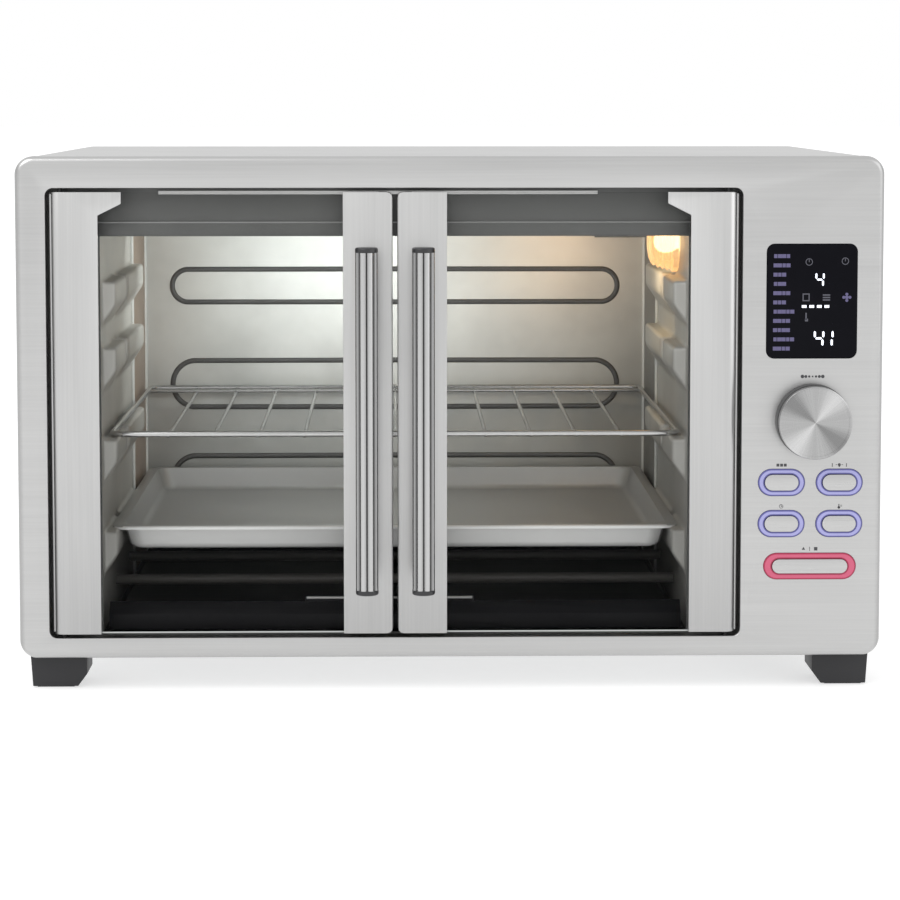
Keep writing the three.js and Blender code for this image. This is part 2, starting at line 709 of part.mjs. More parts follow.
for (const [word, side] of [
  ["left", -1],
  ["right", 1],
]) {
  // From the door's hinge edge towards its free edge.
  const x = (along) => DOORS_X + side * (OPENING_W / 2 - DOOR_GAP - along);
  const at = (along, other) => new THREE.Vector2(x(along), other);

  const hingeSection = [
    at(PIN_IN, 0),
    at(HINGE_STILE_W, 0),
    at(HINGE_STILE_W, STILE_SKIN),
    at(HINGE_BODY, STILE_SKIN),
    at(HINGE_BODY, DOOR_THICK),
    ...arc(0, 0, PIN_IN, 90, 255, 8).map((p) => at(PIN_IN + p.x, PIN_IN + p.y)),
  ];
  const gusset = [
    at(PIN_IN + 1, DOOR_TOP),
    at(HINGE_STILE_W + GUSSET.wide, DOOR_TOP),
    at(HINGE_STILE_W + GUSSET.wide, DOOR_TOP - GUSSET.high),
    at(HINGE_STILE_W, DOOR_TOP - GUSSET.high - GUSSET.slope / 2),
    at(PIN_IN + 1, DOOR_TOP - GUSSET.high - GUSSET.slope),
  ];
  add(
    `${word}_hinge_stile`,
    cut(
      join(upright(hingeSection, DOOR_BOTTOM, doorHigh), facing(gusset, 0, STILE_SKIN)),
      hingeLine(side, DOOR_BOTTOM - THROUGH, DOOR_TOP + THROUGH, PIN_HOLE_R),
    ),
    STEEL,
  );
  add(`${word}_hinge_rod`, hingeLine(side, PIN_BOTTOM, PIN_TOP, PIN_R), CHROME);

  const free = DOOR_W;
  const centreSection = [
    at(free, 0.8),
    at(free - 0.8, 0),
    at(free - CENTRE_STILE_W, 0),
    at(free - CENTRE_STILE_W, STILE_SKIN),
    at(free - CENTRE_BODY, STILE_SKIN),
    at(free - CENTRE_BODY, DOOR_THICK),
    at(free, DOOR_THICK),
  ];
  const doorMiddle = DOOR_BOTTOM + doorHigh / 2;
  const centreFace = roundedRect(x(free - CENTRE_STILE_W), doorMiddle, 2 * CENTRE_STILE_W, doorHigh, 4, 3);
  add(
    `${word}_centre_stile`,
    common(upright(centreSection, DOOR_BOTTOM, doorHigh), facing(centreFace, -1, DOOR_THICK + 2)),
    STEEL,
  );
  add(
    `${word}_door_glass`,
    box(
      x(HINGE_BODY + FIT),
      x(free - CENTRE_BODY - FIT),
      GLASS_FRONT,
      GLASS_FRONT + GLASS_THICK,
      DOOR_BOTTOM + 0.5,
      DOOR_TOP - 0.5,
    ),
    GLASS,
  );

  const handleX = DOORS_X + side * HANDLE_X;
  const rod = (r) => bar([handleX, -HANDLE_OUT, HANDLE_BOTTOM], [handleX, -HANDLE_OUT, HANDLE_TOP], r, 24);
  add(`${word}_handle_bar`, rod(HANDLE_R), STEEL);
  for (const [level, z] of Object.entries(POST_HEIGHTS))
    add(
      `${word}_handle_post_${level}`,
      cut(bar([handleX, -HANDLE_OUT, z], [handleX, -FIT, z], POST_R, 12), rod(HANDLE_R + FIT)),
      CHROME,
    );
}

// ---- Controls ----
const displayOutline = roundedRect(DISPLAY.x, DISPLAY.z, DISPLAY.w, DISPLAY.h, DISPLAY.r);
add("display_window", facing(displayOutline, -0.3, 3.3), DISPLAY_BLACK);

// The knob with its stem, which turns in the encoder's bush.
const STEM_R = 3;
const STEM_END = 10;
const knobSection = [
  [0, -KNOB.out],
  [KNOB.r - 1.5, -KNOB.out],
  [KNOB.r, -KNOB.out + 1.5],
  [KNOB.r, -1.2],
  [KNOB.r - 0.6, -0.6],
  [STEM_R, -0.6],
  [STEM_R, STEM_END],
  [0, STEM_END],
];
add("control_knob", turned(knobSection, 40).translate(KNOB.x, 0, KNOB.z), STEEL);
add(
  "encoder_body",
  cut(
    join(
      box(KNOB.x - 7, KNOB.x + 7, 5, CONTROLS_Y - FIT, KNOB.z - 7, KNOB.z + 7),
      bar([KNOB.x, -0.2, KNOB.z], [KNOB.x, 6, KNOB.z], 5.5, 16),
    ),
    bar([KNOB.x, -2, KNOB.z], [KNOB.x, STEM_END + FIT, KNOB.z], STEM_R + FIT, 12),
  ),
  GALVANIZED,
);

for (const b of buttons) {
  const { capW, capH, ringW, ringH } = b.size;
  add(
    b.name,
    join(facing(pill(b.x, b.z, capW, capH), -1.6, 5.6), box(b.x - 2, b.x + 2, 3, 13.5, b.z - 2, b.z + 2)),
    STEEL,
  );
  add(
    b.name.replace("button", "ring"),
    facing(pill(b.x, b.z, ringW, ringH), -0.8, 4, [pill(b.x, b.z, capW, capH, FIT)]),
    b.size === START_BUTTON ? RED_LIGHT : BLUE_LIGHT,
  );
}

const BOARD_THICK = 1.6;
const POST_R_BOARD = 2.5;
function controlBoard() {
  const posts = [203, 265].flatMap((x) =>
    [95, 207].map((z) => bar([x, SKIN + FIT, z], [x, CONTROLS_Y + 1, z], POST_R_BOARD)),
  );
  return join(box(200, 268, CONTROLS_Y, CONTROLS_Y + BOARD_THICK, 72, 298), ...posts);
}
add("control_board", controlBoard(), BOARD_GREEN);

// A board on four posts, with its heat sink and two relays.
function powerBoard() {
  const z = BASE_Z + SHEET + 5;
  const posts = [199, 258].flatMap((x) =>
    [156, 264].map((y) => bar([x, y, BASE_Z + SHEET + FIT], [x, y, z + 1], POST_R_BOARD)),
  );
  const heatSink = box(202, 240, 160, 195, z + 1, z + 30);
  const relays = [205, 230].map((x) => box(x, x + 20, 210, 230, z + 1, z + 16));
  return join(box(195, 262, 150, 270, z, z + BOARD_THICK), heatSink, ...relays, ...posts);
}
add("power_board", powerBoard(), BOARD_GREEN);

export default oven;
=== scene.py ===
# %% [markdown]
# # A toaster oven with French doors
# The oven is 56 cm wide: a stainless front frame, two glass doors on side hinges, a bright cavity with a
# wire rack and a baking tray, and a control panel on the right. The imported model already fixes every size
# and every joint. This lesson builds the surfaces that the eye reads: the rolled edges, pressed sheets,
# fluted handles, wires, light rings and finishes. Each new piece is modelled in edit mode, as by hand.

# %% Load the frame
import math
from contextlib import contextmanager

import bmesh
import bpy
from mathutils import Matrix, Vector


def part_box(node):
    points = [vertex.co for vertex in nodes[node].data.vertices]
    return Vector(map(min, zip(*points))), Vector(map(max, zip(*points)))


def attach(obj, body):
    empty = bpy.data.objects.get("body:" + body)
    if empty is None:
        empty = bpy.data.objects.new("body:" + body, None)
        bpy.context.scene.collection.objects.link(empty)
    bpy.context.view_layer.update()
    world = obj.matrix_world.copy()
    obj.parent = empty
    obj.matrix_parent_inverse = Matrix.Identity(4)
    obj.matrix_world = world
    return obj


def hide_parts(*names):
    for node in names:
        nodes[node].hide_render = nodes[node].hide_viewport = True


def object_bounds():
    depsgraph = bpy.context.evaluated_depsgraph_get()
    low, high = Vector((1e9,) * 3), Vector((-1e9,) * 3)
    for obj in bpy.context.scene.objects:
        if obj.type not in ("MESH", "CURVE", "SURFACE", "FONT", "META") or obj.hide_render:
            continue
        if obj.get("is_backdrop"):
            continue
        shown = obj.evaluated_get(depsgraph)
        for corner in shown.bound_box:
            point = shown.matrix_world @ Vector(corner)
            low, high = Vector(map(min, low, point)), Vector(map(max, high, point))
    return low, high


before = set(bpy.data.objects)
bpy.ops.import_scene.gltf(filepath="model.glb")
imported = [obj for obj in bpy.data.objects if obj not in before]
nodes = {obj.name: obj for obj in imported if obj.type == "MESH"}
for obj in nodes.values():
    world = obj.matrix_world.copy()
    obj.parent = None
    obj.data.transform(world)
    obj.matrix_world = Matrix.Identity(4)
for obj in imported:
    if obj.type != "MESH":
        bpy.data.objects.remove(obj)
cad_low, cad_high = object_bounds()
MM = 0.001
print("nodes:", len(nodes), "box:", [round(v, 4) for v in cad_high - cad_low])

# %% [markdown]
# ## Modelling helpers
# An operator acts on whatever is selected, so each step starts by deselecting everything and then picks
# faces or edges by their place. Small helpers do that: one opens a piece in edit mode, one picks parts of
# it, two extrude or scale what is picked, and one adds a modifier and applies it at once.

# %% Helpers: edit mode, picking and modifiers
def only(*pieces):
    """Selects these objects and nothing else."""
    bpy.ops.object.select_all(action="DESELECT")
    for piece in pieces:
        piece.select_set(True)
    bpy.context.view_layer.objects.active = pieces[0]


@contextmanager
def shaping(piece):
    """Opens the piece in edit mode with nothing selected."""
    only(piece)
    bpy.ops.object.mode_set(mode="EDIT")
    bpy.ops.mesh.select_all(action="DESELECT")
    yield
    bpy.ops.object.mode_set(mode="OBJECT")


def middle(part):
    """The middle of a face or an edge."""
    if isinstance(part, bmesh.types.BMFace):
        return part.calc_center_median()
    return (part.verts[0].co + part.verts[1].co) / 2


def pick(piece, kind, test):
    """In edit mode, selects only the faces, edges or corners that pass the test."""
    bpy.ops.mesh.select_mode(type=kind)
    bpy.ops.mesh.select_all(action="DESELECT")
    shape = bmesh.from_edit_mesh(piece.data)
    parts = {"FACE": shape.faces, "EDGE": shape.edges, "VERT": shape.verts}[kind]
    chosen = [part for part in parts if test(part)]
    for part in chosen:
        part.select_set(True)
    shape.select_flush_mode()
    bmesh.update_edit_mesh(piece.data)
    return len(chosen)


def near(value, target, slack=0.02 * MM):
    return abs(value - target) < slack


def along(edge, axis):
    """True if the edge runs along that axis, 0 for X, 1 for Y, 2 for Z."""
    run = (edge.verts[0].co - edge.verts[1].co).normalized()
    return abs(run[axis]) > 0.999


def at(axis, value):
    """A test that a part lies wholly at that place along an axis."""
    return lambda part: all(
        near(v.co[axis], value) for v in ([part] if isinstance(part, bmesh.types.BMVert) else part.verts)
    )


def extrude(x=0.0, y=0.0, z=0.0):
    """In edit mode, extrudes what is selected and moves it."""
    bpy.ops.mesh.extrude_region_move(TRANSFORM_OT_translate={"value": (x, y, z)})


def scale_about(centre, x=1.0, y=1.0, z=1.0):
    """In edit mode, scales what is selected about a point."""
    bpy.ops.transform.resize(value=(x, y, z), center_override=centre)


def modify(piece, kind, **settings):
    """Adds a modifier with these settings and applies it."""
    only(piece)
    modifier = piece.modifiers.new(kind.title(), kind)
    for name, value in settings.items():
        setattr(modifier, name, value)
    bpy.ops.object.modifier_apply(modifier=modifier.name)


# %% [markdown]
# The primitives come next. Each one is added at its size and place, and its transform is applied at once,
# so that the object sits at the origin and the place is in the mesh.

# %% Helpers: primitives, cuts and joins
AXIS_TURN = {0: (0, math.pi / 2, 0), 1: (math.pi / 2, 0, 0), 2: (0, 0, 0)}


def placed(name):
    """Names the new primitive and moves its place into its mesh."""
    piece = bpy.context.object
    piece.name = piece.data.name = name
    bpy.ops.object.transform_apply(location=True, rotation=True, scale=True)
    return piece


def block(name, low, high):
    """A box between two corners."""
    bpy.ops.object.select_all(action="DESELECT")
    low, high = Vector(low), Vector(high)
    bpy.ops.mesh.primitive_cube_add(size=1, location=(low + high) / 2, scale=high - low)
    return placed(name)


def rod(name, start, axis, length, radius, sides=32):
    """A round bar from a point, along an axis."""
    bpy.ops.object.select_all(action="DESELECT")
    centre = Vector(start)
    centre[axis] += length / 2
    bpy.ops.mesh.primitive_cone_add(
        vertices=sides, radius1=radius, radius2=radius, depth=abs(length), location=centre,
        rotation=AXIS_TURN[axis],
    )
    return placed(name)


def bevel_edges(piece, test, width, segments=3):
    """Rounds the edges that pass the test."""
    with shaping(piece):
        count = pick(piece, "EDGE", test)
        if count:
            bpy.ops.mesh.bevel(offset=width, segments=segments, clamp_overlap=True)
    return count


def rounded_block(name, low, high, axis, radius, segments=8):
    """A block whose edges along one axis are rounded."""
    piece = block(name, low, high)
    bevel_edges(piece, lambda edge: along(edge, axis), radius, segments)
    return piece


def remove(piece):
    bpy.data.objects.remove(piece)


def cut(piece, *tools):
    """Cuts the tools out of the piece."""
    for tool in tools:
        modify(piece, "BOOLEAN", operation="DIFFERENCE", object=tool, solver="EXACT")
        remove(tool)


def fuse(piece, *others):
    """Joins closed solids into one surface."""
    for other in others:
        modify(piece, "BOOLEAN", operation="UNION", object=other, solver="EXACT")
        remove(other)


def together(name, *pieces):
    """Makes one object of several, each keeping its own surface."""
    only(*pieces)
    if len(pieces) > 1:
        bpy.ops.object.join()
    pieces[0].name = pieces[0].data.name = name
    return pieces[0]


def copy_of(piece, name, move=(0, 0, 0)):
    """A copy with its own mesh, moved in edit mode."""
    only(piece)
    bpy.ops.object.duplicate()
    twin = bpy.context.object
    twin.name = twin.data.name = name
    with shaping(twin):
        bpy.ops.mesh.select_all(action="SELECT")
        bpy.ops.transform.translate(value=move)
    return twin


def clean_copy(node, name, merge=0.01 * MM):
    """A copy of a CAD node's mesh with its loose triangles merged into flat faces."""
    only(nodes[node])
    bpy.ops.object.duplicate()
    piece = bpy.context.object
    piece.name = piece.data.name = name
    piece.data.materials.clear()
    with shaping(piece):
        bpy.ops.mesh.select_all(action="SELECT")
        bpy.ops.mesh.remove_doubles(threshold=merge)
        bpy.ops.mesh.dissolve_limited(angle_limit=math.radians(1))
    return piece


def soften(piece, width, segments=2):
    """Rounds every sharp edge a little, as a pressed or moulded edge is."""
    modify(
        piece, "BEVEL", width=width, segments=segments, limit_method="ANGLE",
        angle_limit=math.radians(40), harden_normals=False,
    )


def span(node):
    """A CAD node's lowest and highest corners."""
    low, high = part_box(node)
    return Vector(low), Vector(high)


def centre_of(node):
    low, high = span(node)
    return (low + high) / 2


# %% [markdown]
# ## A way to write shaders
# A finish is a Principled shader whose colour, roughness or bump varies over the surface. Writing each
# Math node by hand hides the idea, so a socket is wrapped in a small class whose operators add the nodes.
# Then `0.3 + noise * 0.1` reads as it would on paper. Every other node comes from one method.

# %% The shader classes
class Wave:
    """A socket whose arithmetic adds Math nodes."""

    def __init__(self, finish, socket):
        self.finish, self.socket = finish, socket

    def _math(self, operation, *values):
        return self.finish.node("Math", {"operation": operation}, dict(enumerate(values)))

    def __add__(self, other):
        return self._math("ADD", self, other)

    __radd__ = __add__

    def __sub__(self, other):
        return self._math("SUBTRACT", self, other)

    def __rsub__(self, other):
        return self._math("SUBTRACT", other, self)

    def __mul__(self, other):
        return self._math("MULTIPLY", self, other)

    __rmul__ = __mul__

    def __pow__(self, power):
        return self._math("POWER", self, power)


class Finish:
    """A material around one Principled shader."""

    def __init__(self, name, colour, roughness, metallic=0.0, **sockets):
        self.material = bpy.data.materials.new(name)
        self.material.use_nodes = True
        self.tree = self.material.node_tree
        self.tree.nodes.clear()
        self.shader = self.tree.nodes.new("ShaderNodeBsdfPrincipled")
        self.output = self.tree.nodes.new("ShaderNodeOutputMaterial")
        self.tree.links.new(self.shader.outputs[0], self.output.inputs[0])
        first = {"Base Color": colour, "Roughness": roughness, "Metallic": metallic}
        for name, value in {**first, **sockets}.items():
            self.feed(name, value)

    def _put(self, socket, value):
        if isinstance(value, Wave):
            self.tree.links.new(value.socket, socket)
        elif isinstance(value, (tuple, list)) and len(value) == 3 and socket.type == "RGBA":
            socket.default_value = (*value, 1)
        else:
            socket.default_value = value

    def node(self, kind, settings=None, inputs=None, output=0):
        """Adds a node: its settings first, then its sockets' values or links."""
        made = self.tree.nodes.new("ShaderNode" + kind)
        for name, value in (settings or {}).items():
            setattr(made, name, value)
        for name, value in (inputs or {}).items():
            self._put(made.inputs[name], value)
        return Wave(self, made.outputs[output])

    def feed(self, name, value):
        """Gives the shader's own socket a value or a link."""
        self._put(self.shader.inputs[name], value)

    def place(self, scale=(1, 1, 1), move=(0, 0, 0)):
        """Object coordinates, scaled and moved by a Mapping node."""
        where = self.node("TexCoord", output=3)
        return self.node("Mapping", None, {"Vector": where, "Location": move, "Scale": scale})

    def axis(self, where, axis):
        """One coordinate of a place, 0 for X, 1 for Y, 2 for Z."""
        return self.node("SeparateXYZ", None, {0: where}, output=axis)

    def ramp(self, value, low, high):
        """Goes from 0 to 1 while the value goes from low to high."""
        return self.node("MapRange", None, {0: value, 1: low, 2: high})

    def noise(self, where, scale, detail=2.0, rough=0.5):
        inputs = {"Vector": where, "Scale": scale, "Detail": detail, "Roughness": rough}
        return self.node("TexNoise", None, inputs)

    def blend(self, mask, first, second):
        """A colour between two, by a mask."""
        return self.node("Mix", {"data_type": "RGBA"}, {0: mask, 6: first, 7: second}, output=2)

    def bump(self, height, strength, distance):
        inputs = {"Height": height, "Strength": strength, "Distance": distance}
        self.feed("Normal", self.node("Bump", None, inputs))


# %% [markdown]
# ## Brushed stainless steel
# The frame, casing and doors are stainless sheet, brushed along one direction. Brushing is a noise that is
# stretched a hundredfold along that direction. It drives the roughness and a very shallow bump. A second,
# slow noise varies the tone, because rolled sheet is never even, and a third leaves a few faint smudges.

# %% Brushed steel
FINE = 900.0


def brushed(name, grain, tone=0.52, rough=0.34, fine=FINE, painted_shade_fall=0.0, rolled=None):
    """Steel brushed along the grain axis, 0 for X, 1 for Y, 2 for Z. A painted shade may darken its tone
    towards the feet, and a sheet that is rolled over at a half width may get a painted shade along that
    rolled edge."""
    steel = Finish(name, (tone, tone, tone), rough, 1.0)
    scale = [fine] * 3
    scale[grain] = fine / 110
    lines = steel.noise(steel.place(scale), 1.0, 3.0, 0.7)
    scale = [fine / 7] * 3
    scale[grain] = fine / 300
    bands = steel.noise(steel.place(scale), 1.0, 2.0, 0.6)
    cloud = steel.noise(steel.place((1, 1, 1)), 7.0, 2.0)
    smudge = steel.noise(steel.place((1, 1, 1), (0.3, 0.1, 0.2)), 26.0, 4.0, 0.6)
    shade = 0.04 + lines * 0.45 + bands * 0.20 + cloud * 0.30
    # Painted shade: the tone is lighter high up and darker towards the feet.
    if painted_shade_fall:
        shade = shade + (steel.axis(steel.place(), 2) - 0.17) * painted_shade_fall
    # Painted shade: the sheet's rolled side edges are darkened in its colour.
    if rolled:
        away = steel.node("Math", {"operation": "ABSOLUTE"}, {0: steel.axis(steel.place(), 0)})
        shade = shade - steel.ramp(away, rolled - 4 * MM, rolled) * 0.9
    dark = (tone * 0.74,) * 3
    bright = (tone * 1.14, tone * 1.14, tone * 1.13)
    steel.feed("Base Color", steel.blend(shade, dark, bright))
    steel.feed("Roughness", rough - 0.06 + lines * 0.10 + (smudge - 0.5) * 0.10)
    steel.bump(lines, 0.10, 0.02 * MM)
    return steel.material


steel_across = brushed("steel_brushed_across", 0)
# The front frame gets a painted shade along its rolled side edges.
frame_steel = brushed("steel_front_frame", 0, rolled=cad_high.x)
casing_steel = brushed("steel_casing", 0, tone=0.46)
# The door stiles' upright steel carries a painted shade that darkens it towards the bottom.
steel_upright = brushed("steel_brushed_upright", 2, painted_shade_fall=2.2)


def fluted(name, x, y, radius, tone):
    """Satin steel on a fluted bar, with painted highlight on the crests that face forward and painted shade
    in the grooves and behind.
    """
    steel = Finish(name, (tone, tone, tone), 0.24, 1.0)
    where = steel.place(move=(-x, -y, 0))
    right, back = steel.axis(where, 0), steel.axis(where, 1)
    # Painted light: the crests and the front are painted bright, and the grooves and the sides behind are
    # painted dark.
    crest = steel.ramp((right * right + back * back) ** 0.5, radius * 0.86, radius * 0.99)
    front = steel.ramp(back, radius * -0.45, radius * -0.98)
    lines = steel.noise(steel.place((FINE, FINE, 8)), 1.0, 3.0, 0.7)
    shade = crest * 0.62 + front * 0.34 + (lines - 0.5) * 0.16
    steel.feed("Base Color", steel.blend(shade, (tone * 0.26,) * 3, (min(1.0, tone * 1.42),) * 3))
    steel.feed("Roughness", 0.20 + lines * 0.10)
    steel.bump(lines, 0.08, 0.02 * MM)
    return steel.material


key_steel = brushed("key_steel", 0, rough=0.30, fine=1400.0)
print("last steel finish:", key_steel.name)

# %% [markdown]
# ## Cavity finishes
# The walls are aluminised sheet: brighter and softer than stainless, with a faint mottle and heat tint
# near the corners. The face behind the doors is satin dark grey, and the floor and crumb tray are
# glossy black enamel with an orange-peel ripple.

# %% Cavity finishes
def sheet(name, tone, rough, metallic, mottle=0.12, tint=(1, 1, 1), painted_shade_fall=0.0):
    """A plain metal sheet with a soft mottle; a painted shade may darken its tone towards the feet."""
    made = Finish(name, (tone, tone, tone), rough, metallic)
    slow = made.noise(made.place(), 18.0, 3.0, 0.55)
    fine = made.noise(made.place((1, 1, 1), (0.2, 0.5, 0.1)), 140.0, 2.0, 0.6)
    low = tuple(tone * (1 - mottle) * c for c in tint)
    high = tuple(min(1.0, tone * (1 + mottle)) * c for c in tint)
    mask = slow * 0.8 + fine * 0.2
    # Painted shade: darker towards the cavity floor, lighter higher up.
    if painted_shade_fall:
        mask = mask + (made.axis(made.place(), 2) - 0.20) * painted_shade_fall
    made.feed("Base Color", made.blend(mask, low, high))
    made.feed("Roughness", rough - 0.05 + slow * 0.06 + fine * 0.04)
    made.bump(slow * 0.7 + fine * 0.3, 0.15, 0.15 * MM)
    return made.material


def enamel(name, colour, rough, ripple=0.12, **sockets):
    """Glossy enamel with an orange-peel ripple."""
    made = Finish(name, colour, rough, **sockets)
    peel = made.noise(made.place(), 420.0, 2.0, 0.5)
    slow = made.noise(made.place((1, 1, 1), (0.1, 0.4, 0.3)), 22.0, 3.0, 0.6)
    light = tuple(min(1.0, c * 1.5 + 0.004) for c in colour)
    made.feed("Base Color", made.blend(slow, colour, light))
    made.feed("Roughness", rough - 0.05 + slow * 0.10)
    made.bump(peel, ripple, 0.05 * MM)
    return made.material


aluminised = sheet("aluminised_sheet", 0.72, 0.40, 0.50, 0.05, (0.985, 1.0, 0.985))
# The back and side walls carry a painted shade that darkens them towards the floor.
back_sheet = sheet("back_wall_sheet", 0.66, 0.40, 0.50, 0.26, (0.985, 1.0, 0.985), painted_shade_fall=6.0)
wall_sheet = sheet("side_wall_sheet", 0.50, 0.46, 0.40, 0.30, (1.0, 0.985, 0.94), painted_shade_fall=5.0)
# The tray's front wall is a lighter copy of the tray metal: painted light where it faces the lamps.
tray_front_lit = sheet("tray_front_wall", 0.80, 0.45, 0.25, 0.06)
tray_metal = sheet("tray_aluminium", 0.46, 0.36, 0.75, 0.06)
corner_bronze = sheet("rear_corner_bronze", 0.34, 0.42, 0.5, 0.10, (1.0, 0.78, 0.62))
corner_grey = sheet("rear_corner_grey", 0.20, 0.40, 0.5, 0.10, (1.0, 0.98, 0.93))
galvanised = sheet("galvanised_sheet", 0.50, 0.42, 0.9, 0.16, (0.97, 0.99, 1.0))
# Painted highlight: a pale line along a bend or a hem edge.
bend_highlight_grey = sheet("painted_bend_highlight", 0.34, 0.4, 0.6, 0.08)
dark_face = enamel("dark_grey_satin", (0.085, 0.086, 0.085), 0.45, 0.05)
black_enamel = enamel("black_enamel", (0.010, 0.010, 0.011), 0.16)
crumb_enamel = enamel("crumb_tray_enamel", (0.002, 0.002, 0.003), 0.30, **{"Specular IOR Level": 0.10})
heater_sheath = enamel("heater_sheath", (0.10, 0.095, 0.09), 0.42, 0.3)
bead_shade_metal = sheet("pressed_bead_shade", 0.16, 0.42, 0.8, 0.10)

# %% [markdown]
# ## Wire, plastic, glass and light
# The rack is chrome-plated wire. The feet are moulded black plastic with a fine spark texture. Door glass
# is a thin clear pane: mostly see-through, with a reflection that grows towards grazing angles, so it is
# a mix of a transparent shader and the Principled one by a Layer Weight.

# %% Wire, plastic, glass and light
def plain(name, colour, rough, metallic=0.0, grain=600.0, depth=0.05, spread=0.25, **sockets):
    """A moulded or plated surface with a fine grain in tone, gloss and bump."""
    made = Finish(name, colour, rough, metallic, **sockets)
    fine = made.noise(made.place(), grain, 2.0, 0.6)
    slow = made.noise(made.place((1, 1, 1), (0.7, 0.2, 0.5)), 30.0, 2.0)
    low = tuple(c * (1 - spread) for c in colour)
    high = tuple(min(1.0, c * (1 + spread)) for c in colour)
    made.feed("Base Color", made.blend(fine * 0.5 + slow * 0.5, low, high))
    made.feed("Roughness", rough - 0.04 + fine * 0.08)
    made.bump(fine, 0.3, depth * MM)
    return made.material


glass_edge = plain("ground_glass_edge", (0.42, 0.44, 0.43), 0.5, 0.0, 900.0, 0.01, 0.1)
chrome = plain("chrome_wire", (0.60, 0.60, 0.60), 0.16, 1.0, 300.0, 0.01, 0.06)
black_plastic = plain("black_plastic", (0.011, 0.011, 0.013), 0.48, 0.0, 1500.0, 0.05)
dark_cap = plain("handle_cap_dark", (0.02, 0.02, 0.022), 0.35, 0.0, 1200.0, 0.03)
ceramic = plain("lamp_ceramic", (0.72, 0.70, 0.64), 0.55, 0.0, 500.0, 0.04, 0.08)
board_green = plain("circuit_board", (0.02, 0.12, 0.045), 0.4, 0.0, 260.0, 0.03, 0.4)
part_dark = plain("component_dark", (0.015, 0.015, 0.016), 0.4, 0.0, 700.0, 0.03)
screw_metal = plain("screw_metal", (0.55, 0.55, 0.56), 0.3, 1.0, 800.0, 0.02, 0.1)
print_grey = plain("panel_print", (0.045, 0.045, 0.05), 0.5, 0.0, 900.0, 0.005, 0.2)
display_black = plain(
    "display_black", (0.004, 0.004, 0.006), 0.10, 0.0, 200.0, 0.002, 0.3, **{"Specular IOR Level": 0.05}
)


def pane(name, colour, clear, rough=0.03, **sockets):
    """Clear glass: a transparent shader mixed with a reflecting one."""
    glass = Finish(name, colour, rough, **sockets)
    ripple = glass.noise(glass.place(), 9.0, 1.0)
    glass.feed("Roughness", rough + ripple * 0.02)
    see = glass.node("BsdfTransparent", None, {"Color": (0.97, 0.972, 0.968)})
    facing = glass.node("LayerWeight", None, {"Blend": 0.12}, output=0)
    surface = Wave(glass, glass.shader.outputs[0])
    mixed = glass.node("MixShader", None, {0: clear + facing * 0.5, 1: see, 2: surface})
    glass.tree.links.new(mixed.socket, glass.output.inputs[0])
    return glass.material


def glow(name, colour, light, strength, rough=0.35, spread=0.15):
    """A lit surface: a plastic or glass colour with its own light."""
    made = Finish(name, colour, rough)
    uneven = made.noise(made.place(), 120.0, 2.0)
    low = tuple(c * (1 - spread) for c in light)
    high = tuple(min(1.0, c * (1 + spread)) for c in light)
    made.feed("Emission Color", made.blend(uneven, low, high))
    made.feed("Emission Strength", strength)
    return made.material


door_glass = pane("door_glass", (0.02, 0.02, 0.02), 0.03)
lamp_glass = pane(
    "lamp_glass", (0.95, 0.70, 0.42), 0.34, 0.08,
    **{"Emission Color": (1.0, 0.62, 0.30), "Emission Strength": 0.48},
)
lamp_fire = glow("lamp_bulb_light", (1.0, 0.8, 0.5), (1.0, 0.72, 0.38), 4.5)
blue_ring = glow("blue_light_ring", (0.25, 0.25, 0.45), (0.25, 0.25, 0.46), 0.40)
blue_edge = glow("blue_ring_edge", (0.07, 0.07, 0.22), (0.08, 0.08, 0.22), 0.45)
red_ring = glow("red_light_ring", (0.42, 0.06, 0.12), (0.36, 0.10, 0.15), 0.40)
red_edge = glow("red_ring_edge", (0.30, 0.02, 0.06), (0.24, 0.02, 0.05), 0.40)
digit_light = glow("digit_light", (0.8, 0.85, 1.0), (0.85, 0.9, 1.0), 0.9)
mark_light = glow("mark_light", (0.05, 0.045, 0.09), (0.07, 0.06, 0.14), 0.8)
dim_light = glow("dim_light", (0.05, 0.05, 0.06), (0.05, 0.05, 0.07), 0.6)
print("materials:", len(bpy.data.materials))

# %% [markdown]
# ## Handing a piece to the frame
# A finished piece gets its material, shades smooth across soft edges only, rides on its body, and may
# stand for CAD nodes, which are then hidden.

# %% Handing over
made_pieces = []


def hand_over(piece, body, slot, *materials, stands_for=(), angle=32):
    """Finishes a piece, puts it on its body and lets it stand for CAD nodes."""
    only(piece)
    piece.data.materials.clear()
    for material in materials:
        piece.data.materials.append(material)
    bpy.ops.object.shade_smooth_by_angle(angle=math.radians(angle))
    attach(piece, body)
    if stands_for:
        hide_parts(*stands_for)
    made_pieces.append(piece.name)
    return piece


def hand_over_softened(node, name, body, slot, finish, width, segments=2, angle=35):
    """Hands over a merged copy of a CAD node with its sharp edges rounded."""
    piece = clean_copy(node, name)
    soften(piece, width, segments)
    hand_over(piece, body, slot, finish, stands_for=[node], angle=angle)


# %% [markdown]
# ## The front frame
# The frame is one stainless pressing: a shallow dish with rounded corners and a rolled front edge, cut
# out for the doors, the display, the buttons and the knob's stem. A block gives the corners exactly, and
# a Solidify on the open dish gives the sheet. The jamb, the inward flange round the doors, is fused on
# before the door opening is cut, so that its front edge can be rolled like the outside.

